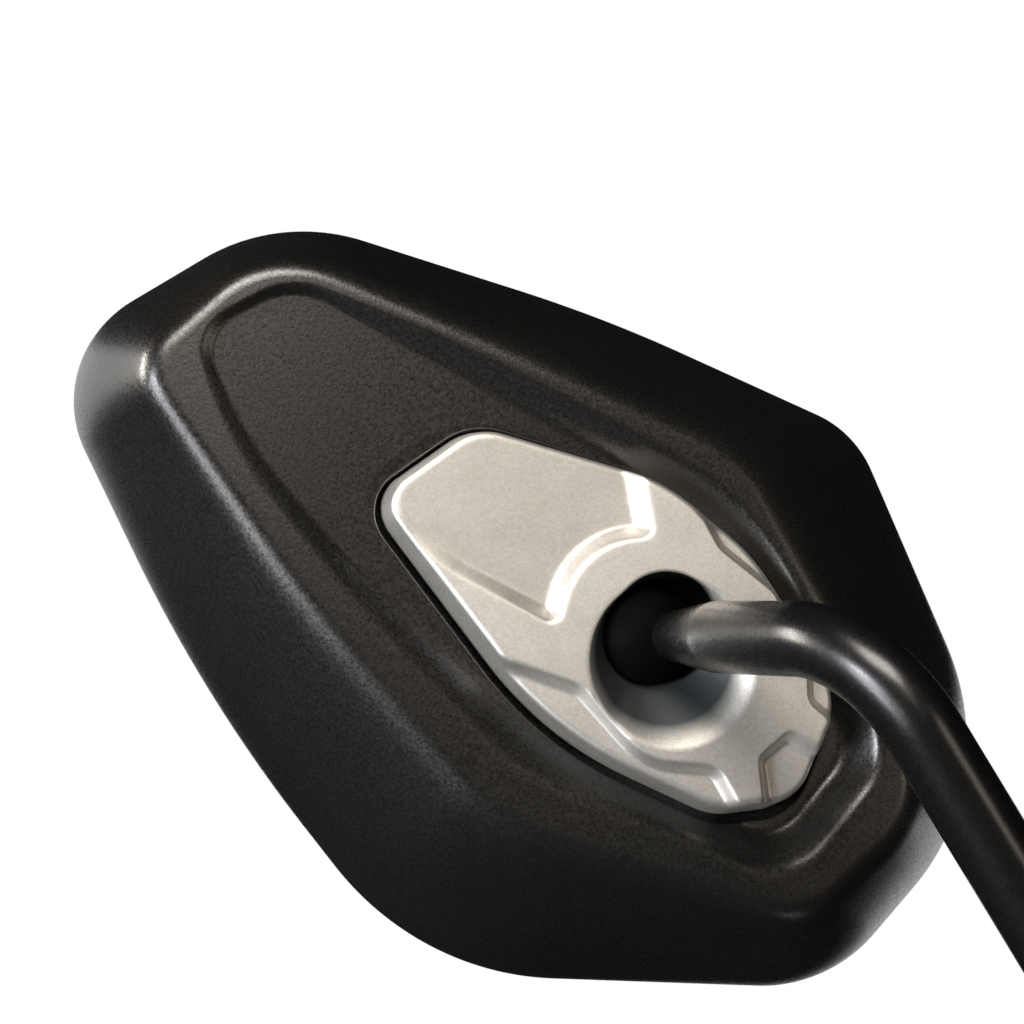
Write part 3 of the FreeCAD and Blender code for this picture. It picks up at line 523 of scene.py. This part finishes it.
# %% Stem
ROD, ROOT, NECK, KNOB = 5.5, 4.55, 3.7, 8.5
LEG, LEG_LEAN, NECK_RUN, NECK_SPLAY = 150.0, math.radians(45), 33.0, math.radians(23.4)
FOOT_BEND, HEAD_BEND = 24.0, 20.0
FOOT_CORNER = np.array([0, 0, 66.0])
HEAD_CORNER = FOOT_CORNER + LEG * np.array([math.sin(LEG_LEAN), 0, math.cos(LEG_LEAN)])
ROD_SIDES = 72
neck_way = np.array([math.sin(NECK_SPLAY), -math.cos(NECK_SPLAY), 0])


def bent(before, corner, after, radius, count=40):
    """An arc that joins two straight runs: corner + the circle's points between the two tangents."""
    into = (corner - before) / np.linalg.norm(corner - before)
    out = (after - corner) / np.linalg.norm(after - corner)
    turn = math.acos(float(into @ out))
    inwards = (out - into) / np.linalg.norm(out - into)
    centre = corner + inwards * radius / math.cos(turn / 2)
    swing = np.linspace(-turn / 2, turn / 2, count)[:, None]
    forward = (into + out) / np.linalg.norm(into + out)
    return centre + radius * (np.sin(swing) * forward - np.cos(swing) * inwards)


def carried(centres, radii, sides):
    """Circles of the given radii along a centre line, with frames that turn as little as they can."""
    way = np.gradient(centres, axis=0)
    way /= np.linalg.norm(way, axis=1)[:, None]
    normals = [np.cross(way[0], (0.0, 1.0, 0.0))]
    for ahead in way[1:]:
        normal = normals[-1] - ahead * (normals[-1] @ ahead)
        normals.append(normal / np.linalg.norm(normal))
    normals = np.array(normals)
    across = np.cross(way, normals)
    swing = full_turn(sides)[..., None]
    ring = np.cos(swing) * normals[:, None] + np.sin(swing) * across[:, None]
    return centres[:, None] + ring * np.asarray(radii)[:, None, None]


def run(start, stop, count):
    """Even points along a straight line."""
    return start + (stop - start) * np.linspace(0, 1, count)[:, None]


foot_heights = (0.2, 3, 7, 10.4, 11.0, 11.8, 13.5, 15.2, 17, 18.4, 19.2, 20, 30, 40, 50)
foot_run = np.array([[0, 0, height] for height in foot_heights])
foot_radii = np.interp(foot_heights, (0, 10.8, 11.4, 18.4, 19.4), (ROOT, ROOT, ROOT + 0.05, 5.4, ROD))
foot_arc = bent(np.zeros(3), FOOT_CORNER, HEAD_CORNER, FOOT_BEND)
head_arc = bent(FOOT_CORNER, HEAD_CORNER, BALL - neck_way * NECK_RUN, HEAD_BEND)
leg_run = run(foot_arc[-1], head_arc[0], 26)[1:-1]
neck_from = np.linspace(NECK_RUN, 6.0, 30)
neck_radii = np.interp(neck_from, (6.0, 7.0, 19.0, NECK_RUN), (3.5, NECK, ROD, ROD))
even_run = np.concatenate([foot_arc, leg_run, head_arc])
centre_line = np.concatenate([foot_run, even_run, BALL - neck_way * neck_from[:, None]])
rod_radii = np.concatenate([foot_radii, np.full(len(even_run), ROD), neck_radii])
rod = surface("rod", carried(centre_line, rod_radii, ROD_SIDES))
ball_from = KNOB * np.cos(np.linspace(0.02, math.pi - 0.02, 60))
ball_radii = np.sqrt(KNOB ** 2 - ball_from ** 2)
knob = surface("knob", carried(BALL - neck_way * ball_from[:, None], ball_radii, ROD_SIDES))

# %% [markdown]
# The stud's thread is one spiral: the radius at height z and angle a depends only on the phase
# z / pitch - a / turn. A clipped triangle wave of that phase has the flat crests and roots of a metric
# thread. The chamfer at the tip cuts the crests away.

# %% Thread
PITCH, CREST, THREAD_DEPTH, STUD_TIP = 1.25, 5.0, 0.62, -12.0
TIP_CHAMFER, TIP_SLOPE = 1.0, 0.9
height = np.linspace(STUD_TIP, 0.6, 170)[:, None]
turn = full_turn(72)
wave = np.abs(((height / PITCH - turn / (2 * np.pi)) % 1) * 2 - 1)
thread_radius = CREST - THREAD_DEPTH * np.clip(wave * 1.5 - 0.2, 0, 1)
thread_radius = np.minimum(thread_radius, CREST - TIP_CHAMFER + (height - STUD_TIP) * TIP_SLOPE)
thread = surface("thread", turned(thread_radius, height, turn), sharp_deg=50)

# %% [markdown]
# The rubber boot is turned round the stud's axis: a closed profile of radius and height, drawn as an
# outline with rounded corners like the head's, goes once round. It is shown pushed up the stem, where
# it sits while the nut is tightened.

# %% Boot
BOOT_FOOT = 18.6
boot_profile = outline([(10.0, 0, 0.8), (12.3, 0, 0.8), (11.8, 17.4, 110), (8.6, 34.8, 1.3),
                        (5.55, 34.8, 0.6), (5.55, 31.8, 0.6), (8.0, 31.8, 1.4), (9.5, 17.4, 110)], 0, 9, 9)
boot_rows = turned(boot_profile[:, :1], boot_profile[:, 1:] + BOOT_FOOT, full_turn(112))
boot = surface("rubber_boot", boot_rows, joined_ends=True)

# %% [markdown]
# Each new surface takes the place of a CAD node and moves with that node's body. The thread is extra: it
# lies on the plain stud of the CAD model.

# %% Ride on the bodies
for piece, node, body, finish in ((shell, "back_shell", "head", "shell_plastic"),
                                  (plate, "cover_plate", "head", "plate_paint"),
                                  (glass, "mirror_glass", "head", "mirror_glass"),
                                  (bezel, "glass_bezel", "head", "bezel_plastic"),
                                  (rod, "stem", "stem", "stem_paint"),
                                  (knob, None, "stem", "stem_paint"),
                                  (thread, None, "stem", "nut_steel"),
                                  (boot, "boot", "boot", "boot_rubber")):
    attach(piece, body)
    if node:
        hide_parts(node)
print("new pieces:", sorted(made))

# %% [markdown]
# Materials. Colours are written as the hex codes that a picture editor shows and turned to the linear
# values that the renderer needs. One function adds a node, sets it and links it; a few short ones name
# the nodes that come often, and every material is then a short list of such calls. Patterns read Object
# coordinates, which are metres in the frame, so a scale of 1000 divided by a size in millimetres draws a
# pattern of that size.

# %% Material tools
def linear(code):
    """sRGB hex to linear RGBA: c / 12.92 below 0.04045, else ((c + 0.055) / 1.055) ** 2.4."""
    c = np.array([int(code[k:k + 2], 16) for k in (1, 3, 5)]) / 255
    c = np.where(c <= 0.04045, c / 12.92, ((c + 0.055) / 1.055) ** 2.4)
    return (*c.tolist(), 1.0)


def fill(tree, node, inputs):
    """Sets a node's inputs; an input is given a value or another node's socket."""
    for key, value in inputs.items():
        if isinstance(value, bpy.types.NodeSocket):
            tree.links.new(value, node.inputs[key])
        else:
            node.inputs[key].default_value = value


def add(tree, kind, inputs=None, **settings):
    """A new node with its settings and inputs."""
    node = tree.nodes.new(kind)
    for key, value in settings.items():
        setattr(node, key, value)
    fill(tree, node, inputs or {})
    return node


def noise(tree, where, size_mm, detail, **more):
    """A cloudy pattern of a size, from 0 to 1."""
    inputs = {"Vector": where, "Scale": 1000 / size_mm, "Detail": detail, **more}
    return add(tree, "ShaderNodeTexNoise", inputs).outputs["Fac"]


def mixed(tree, share, first, second):
    """The first colour where the share is 0, the second where it is 1."""
    return add(tree, "ShaderNodeMix", {0: share, 6: first, 7: second}, data_type="RGBA").outputs[2]


def ranged(tree, value, start, stop, low=0.0, high=1.0, **settings):
    """A value that is low at start and high at stop, and straight between."""
    return add(tree, "ShaderNodeMapRange", {"Value": value, "From Min": start, "From Max": stop,
                                            "To Min": low, "To Max": high}, **settings).outputs["Result"]


def bumped(tree, height, strength, depth_mm):
    """The surface's normal, tilted as a relief of a depth would tilt it."""
    return add(tree, "ShaderNodeBump", {"Height": height, "Strength": strength,
                                        "Distance": depth_mm * MM}).outputs["Normal"]


def computed(tree, operation, *values):
    """The result of a Math node."""
    return add(tree, "ShaderNodeMath", dict(enumerate(values)), operation=operation).outputs[0]


def finish_named(name):
    """A new material: its tree, its shader and the Object coordinates."""
    material = bpy.data.materials.new(name)
    material.use_nodes = True
    tree = material.node_tree
    shader = next(node for node in tree.nodes if node.type == "BSDF_PRINCIPLED")
    where = add(tree, "ShaderNodeTexCoord").outputs["Object"]
    return material, tree, shader, where


# %% Texture-moulded black plastic
def moulded_black(name, dark, light, grain_mm, depth_mm, rough, optics):
    """Glass-filled nylon from a spark-eroded mould: a fine even grain that breaks the highlight into
    sparkling points, and a colour that hardly changes."""
    material, tree, shader, where = finish_named(name)
    grain = noise(tree, where, grain_mm, 3.0, Roughness=0.65)
    cloud = noise(tree, where, 14, 2.0)
    fill(tree, shader, {"Base Color": mixed(tree, cloud, linear(dark), linear(light)),
                        "Roughness": ranged(tree, grain, 0.3, 0.7, rough - 0.09, rough + 0.09),
                        "Normal": bumped(tree, grain, 1.0, depth_mm), **optics})
    return material


shell_nylon = moulded_black("spark_textured_black_nylon", "#0e0d0c", "#161412", 0.5, 0.03, 0.3,
                            {"IOR": 1.53, "Specular IOR Level": 1.0})
bezel_plastic = moulded_black("fine_textured_black_polypropylene", "#121212", "#191919", 0.4, 0.03, 0.5,
                              {"IOR": 1.49})
rubber = moulded_black("moulded_black_rubber", "#141414", "#1f1e1d", 0.8, 0.03, 0.66, {"IOR": 1.52})
carrier_plastic = moulded_black("moulded_grey_abs", "#2a2b2d", "#34363a", 0.9, 0.02, 0.5, {})
foam = moulded_black("closed_cell_black_foam", "#1d1d1f", "#29292c", 1.2, 0.2, 0.9, {})
print("black plastics:", shell_nylon.name, bezel_plastic.name, rubber.name)

# %% Silver paint
# Aluminium flake paint over moulded plastic: each flake is a tiny mirror that lies nearly flat, so
# neighbouring points differ in brightness and the whole turns dark where it faces away from the light.
# Real flakes are about 0.05 mm, drawn at 0.28 mm so that they show.
FLAKE = 0.28
# painted shade: the level below which the dish is painted dark grey, and the centre of a near-black painted
# ring round the ball's hole
DISH_SHADE_LEVEL, HOLE_SHADE_CENTRE = 34.2, (2.0, 1.4)
silver_paint, tree, shader, where = finish_named("silver_flake_paint")
flake = add(tree, "ShaderNodeTexVoronoi", {"Vector": where, "Scale": 1000 / FLAKE})
glint = add(tree, "ShaderNodeSeparateColor", {"Color": flake.outputs["Color"]}).outputs
flat = add(tree, "ShaderNodeVectorMath", {0: where, 1: (1.0, 0.0, 1.0)}, operation="MULTIPLY").outputs[0]


def within(centre, outer, inner):
    """1 inside a circle of the head's drawing, fading to 0 from its inner to its outer radius."""
    x, _, z = head_to_frame(np.array([*centre, 0.0])) * MM
    away = add(tree, "ShaderNodeVectorMath", {0: flat, 1: (x, 0.0, z)}, operation="DISTANCE")
    return ranged(tree, away.outputs["Value"], outer * MM, inner * MM)


# painted shade: below a level the dish is given a dark grey in place of the silver, as the shade inside it
dish_shade_from = head_to_frame(np.array([0.0, 0.0, DISH_SHADE_LEVEL]))[1] * MM
out = add(tree, "ShaderNodeSeparateXYZ", {"Vector": where}).outputs["Y"]
deep = ranged(tree, out, dish_shade_from + 0.6 * MM, dish_shade_from - 0.8 * MM)
dish_shade = computed(tree, "MULTIPLY", within(DISH_CENTRE, 14.0, 13.0), deep)
tone = mixed(tree, glint["Red"], linear("#eae6dd"), linear("#fbf8f3"))
tone = mixed(tree, dish_shade, tone, linear("#5c6163"))
# painted shade: the dish close round the ball's hole is painted near-black, as the shade in the socket
tone = mixed(tree, within(HOLE_SHADE_CENTRE, 9.0, 8.4), tone, linear("#0b0b0a"))
fill(tree, shader, {"Base Color": tone, "Metallic": 0.93,
                    "Roughness": ranged(tree, noise(tree, where, 6, 3.0), 0.0, 1.0, 0.42, 0.52),
                    "Normal": bumped(tree, glint["Green"], 0.2, 0.02)})
print("flakes", FLAKE, "mm")

# %% Black enamel
# Stoved black enamel on steel: a thin hard paint skin with a soft wide highlight, faint orange peel and
# fine dust nibs.
enamel, tree, shader, where = finish_named("stoved_black_enamel")
peel = noise(tree, where, 2.2, 2.0)
nibs = noise(tree, where, 0.5, 1.0)
fill(tree, shader, {"Base Color": mixed(tree, peel, linear("#09090a"), linear("#101011")),
                    "Roughness": ranged(tree, nibs, 0.0, 1.0, 0.22, 0.32),
                    "Normal": bumped(tree, peel, 0.5, 0.03), "IOR": 1.5, "Specular IOR Level": 0.75})

# The ball is blackened and carries a film of grease, which is blackest of all.
greased_black, tree, shader, where = finish_named("greased_black_oxide")
smear = noise(tree, where, 3, 3.0)
fill(tree, shader, {"Base Color": mixed(tree, smear, linear("#050505"), linear("#0b0a0a")),
                    "Roughness": ranged(tree, smear, 0.0, 1.0, 0.5, 0.62), "Specular IOR Level": 0.02})
print("stem finishes:", enamel.name, greased_black.name)

# %% Steels
def steel(name, dark, light, metallic, rough, bare_below_mm=None):
    """Machined steel, plated or blackened: fine turning marks about 0.3 mm apart vary the gloss.
    Below a height the coating is worn to bare metal, as on the stud's tip."""
    material, tree, shader, where = finish_named(name)
    marks = noise(tree, where, 0.3, 2.0)
    stain = noise(tree, where, 3, 3.0)
    tone = mixed(tree, stain, linear(dark), linear(light))
    if bare_below_mm is not None:
        height = add(tree, "ShaderNodeSeparateXYZ", {"Vector": where}).outputs["Z"]
        ragged = computed(tree, "MULTIPLY_ADD", stain, 1.2 * MM, height)
        worn = ranged(tree, ragged, (bare_below_mm + 0.9) * MM, (bare_below_mm + 0.4) * MM)
        tone = mixed(tree, worn, tone, linear("#b9b4a8"))
    fill(tree, shader, {"Base Color": tone, "Metallic": metallic,
                        "Roughness": ranged(tree, marks, 0.0, 1.0, rough - 0.08, rough + 0.08)})
    return material


black_steel = steel("blackened_machined_steel", "#1a1a1b", "#2b2a29", 0.85, 0.42)
stud_steel = steel("blackened_rolled_thread_steel", "#1a1a1b", "#2b2a29", 0.85, 0.38, -10.8)
zinc_steel = steel("zinc_plated_steel", "#a9adb3", "#c9ccd0", 1.0, 0.32)
spring_steel = steel("oiled_spring_steel", "#4b4844", "#6a6660", 1.0, 0.3)
print("steels:", black_steel.name, stud_steel.name, zinc_steel.name, spring_steel.name)

# %% Natural nylon and silvered glass
nylon, tree, shader, where = finish_named("natural_moulded_nylon")
cloud = noise(tree, where, 4, 2.0)
fill(tree, shader, {"Base Color": mixed(tree, cloud, linear("#cfc8b4"), linear("#ddd8c8")),
                    "Roughness": 0.4, "IOR": 1.53})

# Float glass with silver behind it: nearly a perfect mirror, with a faint film of dust and wiping.
mirror, tree, shader, where = finish_named("silvered_float_glass")
film = noise(tree, where, 30, 5.0, Roughness=0.6)
fill(tree, shader, {"Base Color": mixed(tree, film, linear("#dfe5e6"), linear("#e8ecec")), "Metallic": 1.0,
                    "Roughness": ranged(tree, film, 0.35, 0.75, 0.015, 0.05)})
print("materials:", len(bpy.data.materials))

# %% [markdown]
# The inner pieces keep their CAD shape. Their triangles are loose, so a Weld modifier joins them and an
# Edge Split keeps the real edges crisp while the rest is shaded smoothly.

# %% Finish every piece
for piece, material in ((shell, shell_nylon), (plate, silver_paint), (glass, mirror),
                        (bezel, bezel_plastic), (rod, enamel), (knob, greased_black),
                        (thread, stud_steel), (boot, rubber)):
    piece.data.materials.append(material)
kept = {"lock_nut": black_steel, "seat_cup": nylon, "pressure_cup": zinc_steel, "cover_screws": zinc_steel,
        "clamp_plate": zinc_steel, "clamp_screws": zinc_steel, "clamp_washers": zinc_steel,
        "clamp_springs": spring_steel, "foam_pad": foam, "backing_plate": carrier_plastic,
        "backing_screws": zinc_steel}
for name, material in kept.items():
    node = nodes[name]
    node.data.materials.clear()
    node.data.materials.append(material)
    node.data.polygons.foreach_set("use_smooth", np.ones(len(node.data.polygons), bool))
    node.modifiers.new("joined", "WELD").merge_threshold = 1e-6
    split = node.modifiers.new("crisp", "EDGE_SPLIT")
    split.split_angle = math.radians(28)
print("CAD pieces kept:", sorted(kept))

# %% [markdown]
# The camera stands in front and a little below the head, tilted, as in the photograph. Its three axes
# and the pixel where the ball appears were measured there, and the lens from the perspective.

# %% Camera
IMAGE, FOCAL, SENSOR = 1024, 2127.0, 36.0
BALL_PIXEL = (642, 635)
right = Vector((-0.955, 0.191, 0.226))
upward = Vector((0.256, 0.148, 0.955))
backward = Vector((0.149, 0.970, -0.190))
DISTANCE = 0.338
pixel = DISTANCE / FOCAL
ball = Vector((BALL * MM).tolist())
lens = bpy.data.cameras.new("camera")
lens.sensor_width = SENSOR
lens.lens = FOCAL / IMAGE * SENSOR
lens.clip_start = 0.01
camera = bpy.data.objects.new("camera", lens)
off_right, off_down = ((p - IMAGE / 2) * pixel for p in BALL_PIXEL)
spot = ball - right * off_right + upward * off_down + backward * DISTANCE
camera.matrix_world = Matrix.Translation(spot) @ Matrix((right, upward, backward)).transposed().to_4x4()
bpy.context.scene.collection.objects.link(camera)
bpy.context.scene.camera = camera
print("camera at", [round(c, 3) for c in spot], "lens", round(lens.lens, 1), "mm")

# %% [markdown]
# Soft studio light: two soft boxes on the left draw the bright line along the shell's ridge, a strip at the
# far left lights the neck of the stem, one overhead lights the silver plate and the bend, a weak one on
# the right lifts the plate's sunk facet, and a weak one in front lifts the flat faces. Black plastic and
# silver paint show what stands round them, so a dark dome and a dark mat stand round the object, as
# photographers do; only reflections see them. The background is white to the camera and to reflections,
# and lights the object only dimly.

# %% Lights
def soft_box(name, way, distance, width, height, power, colour):
    """An area lamp that looks at the head from a direction."""
    lamp = bpy.data.lights.new(name, "AREA")
    lamp.shape = "RECTANGLE"
    lamp.size, lamp.size_y = width, height
    lamp.energy = power
    lamp.color = linear(colour)[:3]
    stand = bpy.data.objects.new(name, lamp)
    facing = way.to_track_quat("Z", "Y").to_matrix().to_4x4()
    stand.matrix_world = Matrix.Translation(ball + way.normalized() * distance) @ facing
    bpy.context.scene.collection.objects.link(stand)


# name, direction in the camera's right, up and back, distance, width and height in m, power in W, colour
LAMPS = (("left_window", (-0.76, 0.03, 0.65), 1.0, 0.15, 0.3, 8.0, "#f8faff"),
         ("left_low", (-0.66, -0.06, 0.75), 1.0, 0.15, 0.2, 4.0, "#f8faff"),
         ("overhead", (-0.08, 0.75, 0.66), 0.9, 0.5, 0.35, 5.6, "#fff8ee"),
         ("far_left", (-0.96, 0.28, -0.02), 1.0, 0.12, 0.4, 4.5, "#fff8ee"),
         ("right_front", (0.70, 0.22, 0.68), 1.3, 0.3, 0.3, 0.75, "#fff1dc"),
         ("front_fill", (0.12, 0.42, 0.90), 1.3, 0.3, 0.3, 0.25, "#fff1dc"))
for name, (to_right, to_top, to_back), *rest in LAMPS:
    soft_box(name, to_right * right + to_top * upward + to_back * backward, *rest)
print("lamps:", [lamp[0] for lamp in LAMPS])

# %% World
def seen_directly(tree):
    """1 for rays from the camera, from a mirror or through glass, 0 for rays that only bring light."""
    path = add(tree, "ShaderNodeLightPath").outputs
    shown = computed(tree, "MAXIMUM", path["Is Camera Ray"], path["Is Glossy Ray"])
    return computed(tree, "MAXIMUM", shown, path["Is Transmission Ray"])


world = bpy.data.worlds.new("studio")
bpy.context.scene.world = world
world.use_nodes = True
tree = world.node_tree
tree.nodes.clear()
dim = add(tree, "ShaderNodeBackground", {"Color": linear("#ffffff"), "Strength": 0.14})
white = add(tree, "ShaderNodeBackground", {"Color": linear("#ffffff"), "Strength": 1.0})
chosen = add(tree, "ShaderNodeMixShader", {0: seen_directly(tree), 1: dim.outputs[0], 2: white.outputs[0]})
add(tree, "ShaderNodeOutputWorld", {"Surface": chosen.outputs[0]})
print("world:", world.name)

# %% Floor
# Pale paper that keeps the shadow near the object and turns to the white of the background further out.
PAPER_HALF, PAPER_HEIGHT = 6.0, STUD_TIP * MM
SHADOW_NEAR, SHADOW_FAR, SHADOW_FADE = 0.3, 0.8, 0.6
floor_mesh = bpy.data.meshes.new("floor")
floor_mesh.from_pydata([(x * PAPER_HALF, y * PAPER_HALF, PAPER_HEIGHT)
                        for x, y in ((-1, -1), (1, -1), (1, 1), (-1, 1))], [], [(0, 1, 2, 3)])
floor = bpy.data.objects.new("floor", floor_mesh)
bpy.context.scene.collection.objects.link(floor)
floor.visible_shadow = False
pale, tree, shader, where = finish_named("pale_paper")
fibre = noise(tree, where, 5, 2.0)
fill(tree, shader, {"Base Color": mixed(tree, fibre, linear("#f1f1ef"), linear("#f6f6f4")),
                    "Roughness": 0.9})
away = add(tree, "ShaderNodeVectorMath", {0: where}, operation="LENGTH").outputs["Value"]
far = ranged(tree, away, SHADOW_NEAR, SHADOW_FAR, SHADOW_FADE, 1.0, interpolation_type="SMOOTHSTEP")
fade = computed(tree, "MULTIPLY", far, seen_directly(tree))
white = add(tree, "ShaderNodeEmission", {"Color": linear("#ffffff"), "Strength": 1.0})
blend = add(tree, "ShaderNodeMixShader", {0: fade, 1: shader.outputs[0], 2: white.outputs[0]})
end = next(node for node in tree.nodes if node.type == "OUTPUT_MATERIAL")
fill(tree, end, {"Surface": blend.outputs[0]})
floor.data.materials.append(pale)
print("floor at", PAPER_HEIGHT, "m")

# %% Dark cards
# One card lies on the floor, far out on the camera's side and near the object elsewhere; the other is
# a dome that hangs higher at the back, so that the glass still sees white.
black_card, tree, shader, where = finish_named("black_card")
fill(tree, shader, {"Base Color": linear("#0f0f10"), "Roughness": 1.0})


def card(name, points):
    """An open sheet from points[row, column] that only reflections see."""
    index = np.arange(points.shape[0] * points.shape[1]).reshape(points.shape[:2])
    faces = np.stack([index[:-1, :-1], index[1:, :-1], index[1:, 1:], index[:-1, 1:]], -1).reshape(-1, 4)
    mesh = bpy.data.meshes.new(name)
    mesh.from_pydata(points.reshape(-1, 3).tolist(), [], faces.tolist())
    sheet = bpy.data.objects.new(name, mesh)
    bpy.context.scene.collection.objects.link(sheet)
    sheet.visible_camera = False
    sheet.visible_diffuse = False
    sheet.visible_shadow = False
    sheet.data.materials.append(black_card)
    return sheet


CARD_REACH, CARD_BACK, CARD_HOLE, DOME_HANG = 2.2, 0.8, 0.03, 20
MAT_HEIGHT = (STUD_TIP + 0.5) * MM
swing_deg = np.linspace(15, 375, 73)[:, None]
swing = np.radians(swing_deg)
hang = np.radians(np.interp(swing_deg, (15, 205, 225, 345, 375), (0, 0, DOME_HANG, DOME_HANG, 0)))
climb = hang + (math.radians(89) - hang) * np.linspace(0, 1, 16)
dome = card("dark_dome", CARD_REACH * on_sphere(swing, climb))
spread = np.interp(swing_deg, (15, 205, 225, 295, 305, 375),
                   (CARD_REACH, CARD_REACH, CARD_BACK, CARD_BACK, 1.2, CARD_REACH))
spread = CARD_HOLE + (spread - CARD_HOLE) * np.linspace(0, 1, 6)
mat = card("dark_mat", turned(spread, MAT_HEIGHT, swing))
print("staging:", floor.name, dome.name, mat.name)

# %% [markdown]
# Last, the picture settings and a count of the new triangles.

# %% Finish
bpy.context.scene.view_settings.view_transform = "Standard"
print("triangles:", sum(len(p.vertices) - 2 for piece in made.values() for p in piece.data.polygons))
